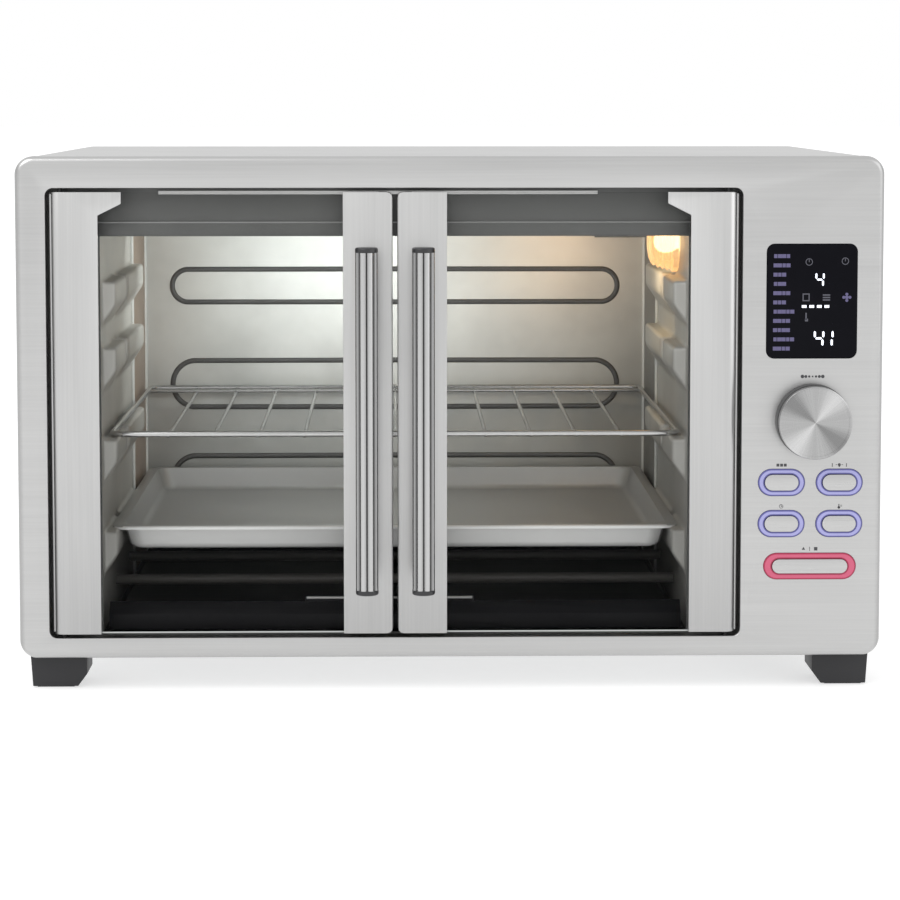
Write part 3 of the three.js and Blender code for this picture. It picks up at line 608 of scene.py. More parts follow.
# %% Places on the front
front_low, front_high = span("front_frame")
FRONT_Y = front_low.y
SKIN, SHEET = 1.2 * MM, 1 * MM
DOOR_GAP = 3 * MM
stile_low = {side: span(f"{side}_hinge_stile")[0] for side in ("left", "right")}
stile_high = {side: span(f"{side}_hinge_stile")[1] for side in ("left", "right")}
open_low = Vector((stile_low["left"].x - DOOR_GAP, FRONT_Y, stile_low["left"].z - 2.5 * MM))
open_high = Vector((stile_high["right"].x + DOOR_GAP, FRONT_Y, stile_high["left"].z + 2.5 * MM))
OPEN_CORNER, FRAME_CORNER, FRONT_ROLL, JAMB_DEEP = 5 * MM, 12 * MM, 4 * MM, 13 * MM
CLEAR = 0.3 * MM
keys = ["mode", "light", "time", "temperature", "start"]
display_low, display_high = span("display_window")
knob_low, knob_high = span("control_knob")
knob_at = centre_of("control_knob")
print("door opening:", [round(v / MM, 1) for v in open_high - open_low])


def opening_block(name, grow, y0, y1):
    """A rounded block through the door opening."""
    low = (open_low.x - grow, y0, open_low.z - grow)
    high = (open_high.x + grow, y1, open_high.z + grow)
    return rounded_block(name, low, high, 1, OPEN_CORNER + grow, 8)


def pill(name, node, grow, y0, y1, segments=10):
    """A block with fully rounded ends, in the outline of a CAD node seen from the front."""
    low, high = span(node)
    radius = (high.z - low.z) / 2 + grow
    return rounded_block(
        name, (low.x - grow, y0, low.z - grow), (high.x + grow, y1, high.z + grow), 1,
        radius * 0.999, segments,
    )


# %% Front frame
frame_piece = block("front_frame_sheet", front_low, front_high)
bevel_edges(frame_piece, lambda edge: along(edge, 1), FRAME_CORNER, 14)
with shaping(frame_piece):
    pick(frame_piece, "FACE", at(1, front_high.y))
    bpy.ops.mesh.delete(type="FACE")
bevel_edges(frame_piece, at(1, FRONT_Y), FRONT_ROLL, 6)
modify(frame_piece, "SOLIDIFY", thickness=SKIN, offset=-1)
fuse(frame_piece, opening_block("jamb", SKIN, FRONT_Y + SKIN / 2, FRONT_Y + JAMB_DEEP))
before, beyond = FRONT_Y - 40 * MM, FRONT_Y + 40 * MM
cut(
    frame_piece,
    opening_block("door_cut", 0, before, beyond),
    rounded_block(
        "display_cut", (display_low.x - CLEAR, before, display_low.z - CLEAR),
        (display_high.x + CLEAR, beyond, display_high.z + CLEAR), 1, 5.3 * MM, 6,
    ),
    *[pill(f"{key}_cut", f"{key}_ring", CLEAR, before, beyond) for key in keys],
    rod("stem_cut", (knob_at.x, FRONT_Y - 9 * MM, knob_at.z), 1, 18 * MM, 6 * MM),
)


def round_opening(edge):
    """True for the front edges of the door opening."""
    inside = all(
        open_low.x - 0.1 * MM < v.co.x < open_high.x + 0.1 * MM
        and open_low.z - 0.1 * MM < v.co.z < open_high.z + 0.1 * MM
        for v in edge.verts
    )
    return inside and at(1, FRONT_Y)(edge)


print("rolled edges:", bevel_edges(frame_piece, round_opening, 0.8 * MM, 3))
hand_over(frame_piece, "root", "stainless", frame_steel, stands_for=["front_frame"], angle=40)

# %% [markdown]
# ## The casing
# The casing is one sheet folded over the top and down both sides. It is the same idea: a block with its
# top edges rounded, opened at the front, back and bottom, then given its thickness. Each side has a group
# of cooling slots under pressed hoods; one hood is shaped from a block and copied up the row.

# %% Casing sheet
wrap_low, wrap_high = span("outer_wrapper")
casing = block("casing_sheet", wrap_low, wrap_high)
with shaping(casing):
    pick(casing, "EDGE", lambda edge: along(edge, 1) and near(middle(edge).z, wrap_high.z))
    bpy.ops.mesh.bevel(offset=10 * MM, segments=14)
    pick(
        casing, "FACE",
        lambda face: at(1, wrap_low.y)(face) or at(1, wrap_high.y)(face) or at(2, wrap_low.z)(face),
    )
    bpy.ops.mesh.delete(type="FACE")
modify(casing, "SOLIDIFY", thickness=SHEET, offset=-1)

SLOT_LOW, SLOT_HIGH, SLOT_PITCH, SLOT_COUNT = 60 * MM, 3 * MM, 11 * MM, 9
HOOD_OUT = 1.3 * MM
slot_y = (FRONT_Y + 255 * MM, FRONT_Y + 335 * MM)
hoods = []
for side in (-1, 1):
    wall, crown = wrap_high.x * side, (wrap_high.x + HOOD_OUT) * side
    cutter = rounded_block(
        "slot_cut", (wall - 3 * MM, slot_y[0], SLOT_LOW), (wall + 3 * MM, slot_y[1], SLOT_LOW + SLOT_HIGH),
        0, 1.45 * MM, 4,
    )
    hood = block(
        "hood", (min(wall, crown), slot_y[0] - 1 * MM, SLOT_LOW + 1 * MM),
        (max(wall, crown), slot_y[1] + 1 * MM, SLOT_LOW + 5 * MM),
    )

    def on_crown(edge, axis):
        return along(edge, axis) and near(middle(edge).x, crown)

    with shaping(hood):
        pick(hood, "EDGE", lambda edge: on_crown(edge, 1) and middle(edge).z > SLOT_LOW + SLOT_HIGH)
        bpy.ops.mesh.bevel(offset=1.2 * MM, segments=4, clamp_overlap=True)
        pick(hood, "EDGE", lambda edge: on_crown(edge, 2))
        bpy.ops.mesh.bevel(offset=1.0 * MM, segments=3, clamp_overlap=True)
    for row in range(SLOT_COUNT):
        lift = (0, 0, row * SLOT_PITCH)
        hoods.append(copy_of(hood, f"hood_{row}", lift))
        cut(casing, copy_of(cutter, "slot", lift))
    remove(cutter)
    remove(hood)
hand_over(casing, "root", "stainless", casing_steel, stands_for=["outer_wrapper"], angle=35)
hand_over(together("casing_slot_hoods", *hoods), "root", "stainless", casing_steel, angle=35)
print("hoods:", 2 * SLOT_COUNT)

# %% [markdown]
# ## The doors
# Each door is a thick clear pane held by two folded stiles. The hinge stile ends in a rolled barrel that
# turns round its pin, and widens to a gusset at the top. The CAD outlines are exact, so the stiles start
# from merged copies of them, and a Bevel gives the sheet's soft bend. The pane is a block whose edges are
# ground off, as tempered glass always is. A bead along the hinge edge and two dark bedding strips finish it.

# %% Door stiles and glass
for side in ("left", "right"):
    body = f"{side}_door"
    for node in (f"{side}_hinge_stile", f"{side}_centre_stile"):
        hand_over_softened(node, f"{node}_sheet", body, "stainless", steel_upright, 0.7 * MM, 3)
    glass_low, glass_high = span(f"{side}_door_glass")
    glass = block(f"{side}_door_pane", glass_low, glass_high)
    bevel_edges(glass, lambda edge: True, 0.6 * MM, 2)
    hand_over(glass, body, "door_glass", door_glass, stands_for=[f"{side}_door_glass"], angle=30)
    rim = block(
        f"{side}_pane_ground_edge", (glass_low.x + 1 * MM, glass_low.y - 0.05 * MM, glass_low.z),
        (glass_high.x - 1 * MM, glass_low.y + 0.3 * MM, glass_low.z + 0.9 * MM),
    )
    hand_over(rim, body, "door_glass", glass_edge, angle=35)
    # The stile's hinge edge is rolled into a bead that stands in the gap. It lies close round the pin, so
    # that it clears the inner face when the door is wide open.
    pin_y = centre_of(f"{side}_hinge_rod").y
    rolled_x = stile_low["left"].x + 0.15 * MM if side == "left" else stile_high["right"].x - 0.15 * MM
    bead_at = (rolled_x, pin_y - 1.2 * MM, stile_low[side].z + 1 * MM)
    bead_high = stile_high[side].z - stile_low[side].z - 2 * MM
    bead = rod(f"{side}_stile_rolled_edge", bead_at, 2, bead_high, 1.0 * MM, 24)
    bevel_edges(bead, lambda edge: not along(edge, 2), 0.5 * MM, 3)
    hand_over(bead, body, "stainless", steel_upright, angle=40)
    # A dark silicone strip beds the pane behind each stile.
    for name, x in (("hinge", glass_low.x), ("free", glass_high.x)):
        strip = rounded_block(
            f"{side}_{name}_pane_bed", (x - 0.1 * MM, glass_low.y + 0.6 * MM, glass_low.z + 1 * MM),
            (x + 0.25 * MM, glass_high.y - 0.6 * MM, glass_high.z - 1 * MM), 2, 0.1 * MM, 2,
        )
        hand_over(strip, body, "black_plastic", black_plastic)

# %% [markdown]
# ## The handles
# Each handle is a fluted steel bar: eight broad convex ribs with deep grooves between them, closed at
# both ends by dark caps, and held by two turned posts. A cylinder with nine edges per rib is enough. Each
# ring of corners that belongs to the same place on a rib is drawn towards the axis by its own share.

# %% Fluted bar
RIBS, STEPS = 8, 9
RIB_SHARES = (0.80, 0.905, 0.955, 0.985, 1.0, 1.0, 0.985, 0.955, 0.905)
CAP_HIGH = 3.2 * MM
HANDLE_TONE = 0.36


def fluted_bar(name, x, y, low, high, radius):
    """An upright bar whose corners are drawn in, each by its place on a rib."""
    bar = rod(name, (x, y, low), 2, high - low, radius, RIBS * STEPS)
    with shaping(bar):
        shape = bmesh.from_edit_mesh(bar.data)
        start = min(math.atan2(v.co.y - y, v.co.x - x) % (math.tau / RIBS) for v in shape.verts)
        for step, share in enumerate(RIB_SHARES):
            def on_step(vert):
                turn = (math.atan2(vert.co.y - y, vert.co.x - x) - start) % (math.tau / RIBS)
                return round(turn / (math.tau / RIBS) * STEPS) % STEPS == step
            pick(bar, "VERT", on_step)
            scale_about((x, y, (low + high) / 2), x=share, y=share)
    return bar


def turned_post(name, x, z, y_door, y_bar):
    """A post with a foot at the door and a waist, shaped from a cylinder by insets and extrusions."""
    post = rod(name, (x, y_door, z), 1, -1.6 * MM, 6 * MM, 40)
    end = y_door - 1.6 * MM
    with shaping(post):
        pick(post, "FACE", at(1, end))
        bpy.ops.mesh.inset(thickness=1.6 * MM)
        extrude(y=y_bar - end)
        pick(post, "EDGE", lambda edge: at(1, end)(edge) or at(1, y_door)(edge))
        bpy.ops.mesh.bevel(offset=0.5 * MM, segments=3, clamp_overlap=True)
    return post


for side in ("left", "right"):
    body = f"{side}_door"
    bar_low, bar_high = span(f"{side}_handle_bar")
    x, y = (bar_low.x + bar_high.x) / 2, (bar_low.y + bar_high.y) / 2
    radius = (bar_high.x - bar_low.x) / 2
    bar_name, low, high = f"{side}_handle_fluted_bar", bar_low.z + CAP_HIGH, bar_high.z - CAP_HIGH
    bar = fluted_bar(bar_name, x, y, low, high, radius)
    handle_steel = fluted(f"{side}_handle_steel", x, y, radius, HANDLE_TONE)
    hand_over(bar, body, "handle_steel", handle_steel, stands_for=[f"{side}_handle_bar"], angle=35)
    for end, z, up in (("lower", bar_low.z, 1), ("upper", bar_high.z, -1)):
        cap = rod(f"{side}_handle_cap_{end}", (x, y, z), 2, up * (CAP_HIGH - 0.1 * MM), radius * 0.97, 48)
        bevel_edges(cap, at(2, z), 1.2 * MM, 4)
        hand_over(cap, body, "black_plastic", dark_cap)
    for end in ("upper", "lower"):
        node = f"{side}_handle_post_{end}"
        z = centre_of(node).z
        post = turned_post(f"{node}_turned", x, z, FRONT_Y - 0.1 * MM, y + radius * 0.80)
        hand_over(post, body, "chrome", chrome, stands_for=[node], angle=40)
print("ribs on each handle:", RIBS)

# %% [markdown]
# ## The inner face
# Behind the doors stands a dark satin face, bent forward along its top edge. A bright strip is riveted
# under the frame's top rail. Both are sheets with folded edges, so merged copies with a Bevel do. The bend
# carries a painted highlight: a pale line on a thin rod that stands a little proud of the face.

# %% Inner face and head strip
for node, finish, slot, width in (
    ("inner_face", dark_face, "dark_metal", 0.8 * MM),
    ("door_head_strip", steel_across, "stainless", 0.3 * MM),
):
    hand_over_softened(node, f"{node}_sheet", "root", slot, finish, width, 3)
lip_low, lip_high = span("inner_face")
BEND_IN, BEND_Z = 32 * MM, 305 * MM
# The pale rod along the bend is a painted highlight.
bend_at = (lip_low.x + BEND_IN, lip_low.y + 0.2 * MM, BEND_Z)
bend = rod("inner_face_bend", bend_at, 0, lip_high.x - lip_low.x - 2 * BEND_IN, 0.5 * MM, 12)
hand_over(bend, "root", "dark_metal", bend_highlight_grey, angle=50)

# %% [markdown]
# ## The side walls
# Each wall has pressed rests for the rack and trays, two to a level. A sheet is bisected along the rests'
# edges, the rest faces are extruded inwards, and their lower edges are raised so that each rest has a
# flat top and a sloping underside. A bevel rounds the pressing, and a Solidify gives the sheet.

# %% Side walls
REST_TOPS = [101 * MM, 161.5 * MM, 222 * MM, 265.5 * MM]
REST_SPANS = [(FRONT_Y + 28 * MM, FRONT_Y + 95 * MM), (FRONT_Y + 115 * MM, FRONT_Y + 225 * MM)]
REST_HIGH, REST_IN = 30 * MM, 10 * MM
THROUGH = 5 * MM
heater_names = [f"heater_{place}" for place in ("upper_front", "upper_rear", "lower_front", "lower_rear")]
wall_low = {side: span(f"side_wall_{side}")[0] for side in ("left", "right")}
wall_high = {side: span(f"side_wall_{side}")[1] for side in ("left", "right")}
cavity_x = {"left": wall_low["left"].x + SHEET, "right": wall_high["right"].x - SHEET}


def slice_through(axis, value):
    """Bisects everything selected by a plane across an axis."""
    where, facing = [0, 0, 0], [0, 0, 0]
    where[axis], facing[axis] = value, 1
    bpy.ops.mesh.select_all(action="SELECT")
    bpy.ops.mesh.bisect(plane_co=where, plane_no=facing)


def sharp(edge):
    return len(edge.link_faces) == 2 and edge.calc_face_angle() > math.radians(20)


def through_wall(name, x, y, z, radius, sides):
    """A round cutter that stands out on both sides of a cavity wall."""
    return rod(name, (x - THROUGH, y, z), 0, 2 * THROUGH, radius, sides)


def side_wall(side):
    """A cavity wall with its rack rests pressed inwards and its heater holes cut."""
    inner = cavity_x[side]
    inward = 1 if side == "left" else -1
    low, high = wall_low[side], wall_high[side]
    wall = block(
        f"cavity_wall_{side}", (min(inner, inner - inward * SHEET), low.y, low.z),
        (max(inner, inner - inward * SHEET), high.y, high.z),
    )

    def in_rest(face):
        place = middle(face)
        across = any(a < place.y < b for a, b in REST_SPANS)
        return across and any(top - REST_HIGH < place.z < top for top in REST_TOPS)

    with shaping(wall):
        pick(wall, "FACE", lambda face: not at(0, inner)(face))
        bpy.ops.mesh.delete(type="FACE")
        for edges in REST_SPANS:
            for value in edges:
                slice_through(1, value)
        for top in REST_TOPS:
            slice_through(2, top)
            slice_through(2, top - REST_HIGH)
        pick(wall, "FACE", in_rest)
        extrude(x=inward * REST_IN)
        tip = inner + inward * REST_IN
        feet = [top - REST_HIGH for top in REST_TOPS]
        pick(wall, "VERT", lambda v: near(v.co.x, tip) and any(near(v.co.z, foot) for foot in feet))
        bpy.ops.transform.translate(value=(0, 0, REST_HIGH / 2))
        pick(wall, "EDGE", sharp)
        bpy.ops.mesh.bevel(offset=2.6 * MM, segments=4, clamp_overlap=True)
    modify(wall, "SOLIDIFY", thickness=SHEET, offset=-1)
    for name in heater_names:
        heater = centre_of(name)
        cut(wall, through_wall("heater_hole", inner, heater.y, heater.z, 4.2 * MM, 24))
    return wall


lamp_low, lamp_high = span("lamp_cover")
lamp_at, fan_at, probe_at = (centre_of(node) for node in ("lamp_cover", "fan_wheel", "temperature_probe"))
FAN_R, FAN_SLOT = 38 * MM, 4 * MM
walls = {side: side_wall(side) for side in ("left", "right")}
wall_x = cavity_x["right"]
cut(
    walls["right"],
    through_wall("lamp_hole", wall_x, lamp_at.y, lamp_at.z, 16 * MM, 48),
    through_wall("probe_hole", wall_x, probe_at.y, probe_at.z, 2.4 * MM, 16),
)
for step in range(-3, 4):
    y = fan_at.y + step * 10 * MM
    half = math.sqrt(FAN_R**2 - (step * 10 * MM) ** 2) - FAN_SLOT / 2
    low = (wall_x - THROUGH, y - FAN_SLOT / 2, fan_at.z - half)
    high = (wall_x + THROUGH, y + FAN_SLOT / 2, fan_at.z + half)
    cut(walls["right"], rounded_block("fan_slot", low, high, 0, 1.95 * MM, 5))
for side, wall in walls.items():
    hand_over(wall, "root", "aluminized", wall_sheet, stands_for=[f"side_wall_{side}"], angle=40)
print("walls:", {side: len(wall.data.polygons) for side, wall in walls.items()})

# %% [markdown]
# ## The back wall, ceiling and floor
# Three long loops are pressed into the back wall to stiffen it. A torus pulled apart along X makes such a
# loop: its two halves become the round ends, and the rings between them stretch into the straight runs.
# Each rear corner has a strip that heat has tinted, with a folded seam down both of its edges.

# %% Back wall and its pressed loops
back_low, back_high = span("back_wall")
PLATE_FRONT = back_high.y - SHEET
LOOPS = [(228.8 * MM, 254.1 * MM), (148 * MM, 184 * MM), (74.5 * MM, 110.5 * MM)]
LOOP_HALF, BEAD_R = 170.5 * MM, 2.0 * MM
cavity_mid = (cavity_x["left"] + cavity_x["right"]) / 2


def pulled_loop(name, centre, ring, wire, pull_x=0.0, pull_y=0.0, upright=False, sides=12):
    """A torus whose halves are pulled apart, so that it becomes a loop with straight runs."""
    bpy.ops.object.select_all(action="DESELECT")
    turn = (math.pi / 2, 0, 0) if upright else (0, 0, 0)
    bpy.ops.mesh.primitive_torus_add(
        location=centre, rotation=turn, major_radius=ring, minor_radius=wire,
        major_segments=44, minor_segments=sides,
    )
    loop = placed(name)
    with shaping(loop):
        for axis, pull in ((0, pull_x), (1, pull_y)):
            for sign in (-1, 1):
                if pull:
                    pick(loop, "VERT", lambda v: (v.co[axis] - centre[axis]) * sign > 1e-6)
                    shift = [0, 0, 0]
                    shift[axis] = sign * pull
                    bpy.ops.transform.translate(value=shift)
    return loop


plate = block("back_wall_sheet", (back_low.x, PLATE_FRONT, back_low.z), back_high)
bevel_edges(plate, lambda edge: True, 0.3 * MM, 2)
hand_over(plate, "root", "aluminized", back_sheet, stands_for=["back_wall"], angle=35)
loops = []
for low_z, high_z in LOOPS:
    ring = (high_z - low_z) / 2
    centre = (cavity_mid, PLATE_FRONT, (low_z + high_z) / 2)
    loop = pulled_loop("loop", centre, ring, BEAD_R, LOOP_HALF - ring, upright=True)
    with shaping(loop):
        bpy.ops.mesh.select_all(action="SELECT")
        scale_about(centre, y=0.62)
    loops.append(loop)
# The pressed loops take a dark tone: painted shade along their beads.
hand_over(together("back_wall_pressed_loops", *loops), "root", "aluminized", bead_shade_metal, angle=60)

seams = []
strip_y, strip_z = (FRONT_Y + 234 * MM, PLATE_FRONT - 2 * MM), (back_low.z + 3 * MM, back_high.z - 3 * MM)
for side, into, finish in (("left", 1, corner_bronze), ("right", -1, corner_grey)):
    x = cavity_x[side]
    face_x = x + into * 0.5 * MM
    strip = rounded_block(
        f"rear_corner_strip_{side}", (min(x, face_x), strip_y[0], strip_z[0]),
        (max(x, face_x), strip_y[1], strip_z[1]), 0, 1.5 * MM, 3,
    )
    bevel_edges(strip, at(0, face_x), 0.2 * MM, 2)
    hand_over(strip, "root", "aluminized", finish, angle=35)
    for y in (strip_y[0], PLATE_FRONT - 1.4 * MM):
        seam_at = (x + into * 0.8 * MM, y, strip_z[0])
        seams.append(rod("seam", seam_at, 2, strip_z[1] - strip_z[0], 1.3 * MM, 12))
hand_over(together("rear_corner_seams", *seams), "root", "aluminized", aluminised, angle=50)

# %% Ceiling and floor
for node, finish, slot in (
    ("ceiling_plate", aluminised, "aluminized"),
    ("floor_plate", black_enamel, "black_enamel"),
):
    low, high = span(node)
    plate = block(f"{node}_sheet", low, high)
    with shaping(plate):
        pick(plate, "FACE", at(2, high.z))
        bpy.ops.mesh.inset(thickness=24 * MM)
        extrude(z=-0.35 * MM)
    bevel_edges(plate, lambda edge: along(edge, 2), 3 * MM, 4)
    soften(plate, 0.12 * MM)
    hand_over(plate, "root", slot, finish, stands_for=[node], angle=35)

# %% [markdown]
# ## Heaters, lamp and probe
# A tube heater is a dull metal sheath with a ceramic bush and a terminal pin at each end. The lamp sits
# behind a ringed glass dome. Its end is extruded again and again, and each new rim is drawn in or let out,
# which leaves the rings.

# %% Heaters
for node in heater_names:
    low, high = span(node)
    y, z, radius = (low.y + high.y) / 2, (low.z + high.z) / 2, (high.z - low.z) / 2
    tube = rod(f"{node}_tube", (low.x + 6 * MM, y, z), 0, high.x - low.x - 12 * MM, radius, 32)
    bevel_edges(tube, lambda edge: not along(edge, 0), 0.8 * MM, 3)
    hand_over(tube, "root", "heater_sheath", heater_sheath, stands_for=[node], angle=40)
    ends = []
    for x, out in ((low.x, 1), (high.x, -1)):
        bush = rod("bush", (x + out * 2 * MM, y, z), 0, out * 8 * MM, 3.9 * MM, 24)
        bevel_edges(bush, lambda edge: not along(edge, 0), 0.6 * MM, 2)
        pin = rod("pin", (x + out * 0.1 * MM, y, z), 0, out * 4 * MM, 1.2 * MM, 12)
        ends += [bush, pin]
    hand_over(together(f"{node}_end_bushes", *ends), "root", "ceramic", ceramic, angle=40)

# %% Lamp and its ribbed cover
cover_x = lamp_high.x
FLANGE_DEEP = 3.5 * MM
dome_at = (cover_x, lamp_at.y, lamp_at.z)
dome = rod("lamp_cover_dome", dome_at, 0, -FLANGE_DEEP, 21 * MM, 56)
RINGS = [
    (1.3, 0.88), (1.7, 1.08), (1.5, 0.90), (1.7, 1.07), (1.5, 0.89), (1.7, 1.06), (1.5, 0.88), (1.7, 1.04),
]
with shaping(dome):
    pick(dome, "FACE", at(0, cover_x - FLANGE_DEEP))
    for further, share in RINGS + [(1.6, 0.88), (1.4, 0.76), (0.8, 0.55)]:
        extrude(x=-further * MM)
        scale_about(dome_at, y=share, z=share)
    pick(dome, "FACE", at(0, cover_x))
    bpy.ops.mesh.delete(type="FACE")
modify(dome, "SOLIDIFY", thickness=1.4 * MM, offset=-1)
hand_over(dome, "root", "lamp_glass", lamp_glass, stands_for=["lamp_cover"], angle=50)

NECK_LONG = 16 * MM
bulb_at = (span("lamp_bulb")[1].x, lamp_at.y, lamp_at.z)
bulb = rod("lamp_bulb_glass", bulb_at, 0, -NECK_LONG, 4.9 * MM, 32)
with shaping(bulb):
    pick(bulb, "FACE", at(0, bulb_at[0] - NECK_LONG))
    for wider, further in ((1.5, 4.0), (1.07, 3.0), (1.0, 3.0), (0.86, 3.0), (0.6, 2.4), (0.4, 0.8)):
        extrude(x=-further * MM)
        scale_about(bulb_at, y=wider, z=wider)
hand_over(bulb, "root", "lamp_glass", lamp_fire, stands_for=["lamp_bulb"], angle=60)

# %% Temperature probe, fan and its housing
for node, body, slot, finish, width in (
    ("temperature_probe", "root", "chrome", chrome, 0.4 * MM),
    ("fan_wheel", "fan", "aluminized", tray_metal, 0.2 * MM),
    ("fan_housing", "root", "aluminized", galvanised, 0.2 * MM),
):
    hand_over_softened(node, f"{node}_made", body, slot, finish, width, angle=40)

# %% [markdown]
# ## The wire rack
# The rack's frame is one wire bent round four corners, which is a torus pulled apart both ways. Eleven
# long wires lie on it. Each starts on the front rail, rises, bends over and runs back to the rear rail: a
# disc that is extruded for the straights and spun for the bend. One cross wire ties them near the back.

# %% Wire rack
def bent_wire(name, start, radius, moves, sides=10):
    """A round wire in the plane x = start.x: moves are ("run", dy, dz) or ("bend", degrees, dy, dz)."""
    bpy.ops.object.select_all(action="DESELECT")
    bpy.ops.mesh.primitive_circle_add(vertices=sides, radius=radius, fill_type="NGON", location=start)
    wire = placed(name)
    tip = Vector(start)
    with shaping(wire):
        bpy.ops.mesh.select_mode(type="FACE")
        bpy.ops.mesh.select_all(action="SELECT")
        for kind, *values in moves:
            if kind == "run":
                extrude(0, *values)
            else:
                degrees, dy, dz = values
                pivot = tip + Vector((0, dy, dz))
                bpy.ops.mesh.spin(
                    steps=5, angle=math.radians(degrees), center=pivot, axis=(1, 0, 0), dupli=False
                )
            shape = bmesh.from_edit_mesh(wire.data)
            chosen = [v.co for v in shape.verts if v.select]
            tip = sum(chosen, Vector()) / len(chosen)
        bpy.ops.mesh.select_all(action="SELECT")
        bpy.ops.mesh.remove_doubles(threshold=0.001 * MM)
        bpy.ops.mesh.normals_make_consistent(inside=False)
    return wire


rack_low, rack_high = span("wire_rack")
rack_mid = centre_of("wire_rack")
RAIL_R, WIRE_R, WIRE_PITCH, CORNER = 2.0 * MM, 1.35 * MM, 30 * MM, 9 * MM
rail_z = rack_low.z + RAIL_R
rim = pulled_loop(
    "rack_frame", (rack_mid.x, rack_mid.y, rail_z), CORNER, RAIL_R,
    (rack_high.x - rack_low.x) / 2 - RAIL_R - CORNER, (rack_high.y - rack_low.y) / 2 - RAIL_R - CORNER,
)
wires = [rim]
BEND = 2.2 * MM
wire_z = rail_z + RAIL_R + WIRE_R - 0.5 * MM
for step in range(-5, 6):
    start = (rack_mid.x + step * WIRE_PITCH, rack_low.y + WIRE_R, rail_z - 1.2 * MM)
    rise = wire_z - start[2] - BEND
    long = rack_high.y - rack_low.y - 2 * WIRE_R - 2 * BEND
    moves = [("run", 0, rise), ("bend", -90, BEND, 0), ("run", long, 0)]
    wires.append(bent_wire("long_wire", start, WIRE_R, moves))
cross = rod(
    "cross_wire", (rack_low.x + RAIL_R, rack_high.y - 24 * MM, rail_z - 0.2 * MM), 0,
    rack_high.x - rack_low.x - 2 * RAIL_R, WIRE_R, 12,
)
wires.append(cross)
hand_over(together("rack_wires", *wires), "rack", "chrome", chrome, stands_for=["wire_rack"], angle=60)
print("rack wires:", len(wires))

# %% [markdown]
# ## The baking tray and crumb tray
# The baking tray is drawn from one sheet: rounded corners, sloping walls, a flat rim and a rolled edge.
# The block's base is drawn in, its corners rounded and its lid removed. Its open edge is then extruded
# outwards for the rim and down for the roll, and a Solidify gives the metal. Its front wall gets a lighter
# copy of the tray's finish, painted light where it faces the lamps. The crumb tray's pull tab ends in a pale
# hem, painted as the highlight on its edge.

# %% Baking tray
tray_low, tray_high = span("baking_tray")
tray_mid = centre_of("baking_tray")
FLANGE, DRAWN_IN, TRAY_CORNER = 7 * MM, 9 * MM, 11 * MM
top_z = tray_high.z - 0.2 * MM
tray = block(
    "baking_tray_pan", (tray_low.x + FLANGE, tray_low.y + FLANGE, tray_low.z),
    (tray_high.x - FLANGE, tray_high.y - FLANGE, top_z),
)
bevel_edges(tray, lambda edge: along(edge, 2), TRAY_CORNER, 8)
tray_wide, tray_long = tray_high.x - tray_low.x - 2 * FLANGE, tray_high.y - tray_low.y - 2 * FLANGE
with shaping(tray):
    pick(tray, "FACE", at(2, tray_low.z))
    scale_about(tray_mid, x=1 - DRAWN_IN / tray_wide, y=1 - DRAWN_IN / tray_long)
    pick(tray, "EDGE", at(2, tray_low.z))
    bpy.ops.mesh.bevel(offset=4 * MM, segments=5)
    pick(tray, "FACE", at(2, top_z))
    bpy.ops.mesh.delete(type="FACE")
    pick(tray, "EDGE", lambda edge: at(2, top_z)(edge) and len(edge.link_faces) == 1)
    for out, down in ((1.2, 0.0), (4.8, 0.0), (0.8, -0.6), (0.2, -1.4)):
        bpy.ops.mesh.extrude_edges_move(TRANSFORM_OT_translate={"value": (0, 0, down * MM)})
        shape = bmesh.from_edit_mesh(tray.data)
        wide = max(v.co.x for v in shape.verts if v.select) - tray_mid.x
        deep = max(v.co.y for v in shape.verts if v.select) - tray_mid.y
        scale_about(tray_mid, x=1 + out * MM / wide, y=1 + out * MM / deep)
    bpy.ops.mesh.select_all(action="SELECT")
    bpy.ops.mesh.normals_make_consistent(inside=False)
modify(tray, "SOLIDIFY", thickness=0.8 * MM, offset=0)
hand_over(tray, "tray", "aluminized", tray_metal, tray_front_lit, stands_for=["baking_tray"], angle=40)
# Forward-facing faces on the front half take the lighter copy, as painted light.
for face in tray.data.polygons:
    face.material_index = int(face.normal.y < -0.5 and face.center.y < tray_mid.y)

# %% Crumb tray
hand_over_softened(
    "crumb_tray", "crumb_tray_pan", "crumb_drawer", "black_enamel", crumb_enamel, 0.3 * MM
)
crumb_low, crumb_high = span("crumb_tray")
TAB_LEFT, TAB_RIGHT = -95.5 * MM, 15.6 * MM
# The pale hem is a painted highlight along the tab's top edge.
hem = rod(
    "crumb_tray_tab_hem", (TAB_LEFT + 1 * MM, crumb_low.y + 1.2 * MM, crumb_high.z - 0.4 * MM), 0,
    TAB_RIGHT - TAB_LEFT - 2 * MM, 0.9 * MM, 16,
)
bevel_edges(hem, lambda edge: not along(edge, 0), 0.4 * MM, 2)
hand_over(hem, "crumb_drawer", "black_enamel", bend_highlight_grey, angle=50)

# %% [markdown]
# ## The knob
# The knob is a dark moulded skirt with a turned metal cap. Turning leaves circular scratches, which catch
# the light in wedges. The wedges are painted highlight and shade, written from the angle round the knob's
# axis: an arctangent of the object's place gives the angle, and a cosine of twice that gives two bright
# wedges and two dark.

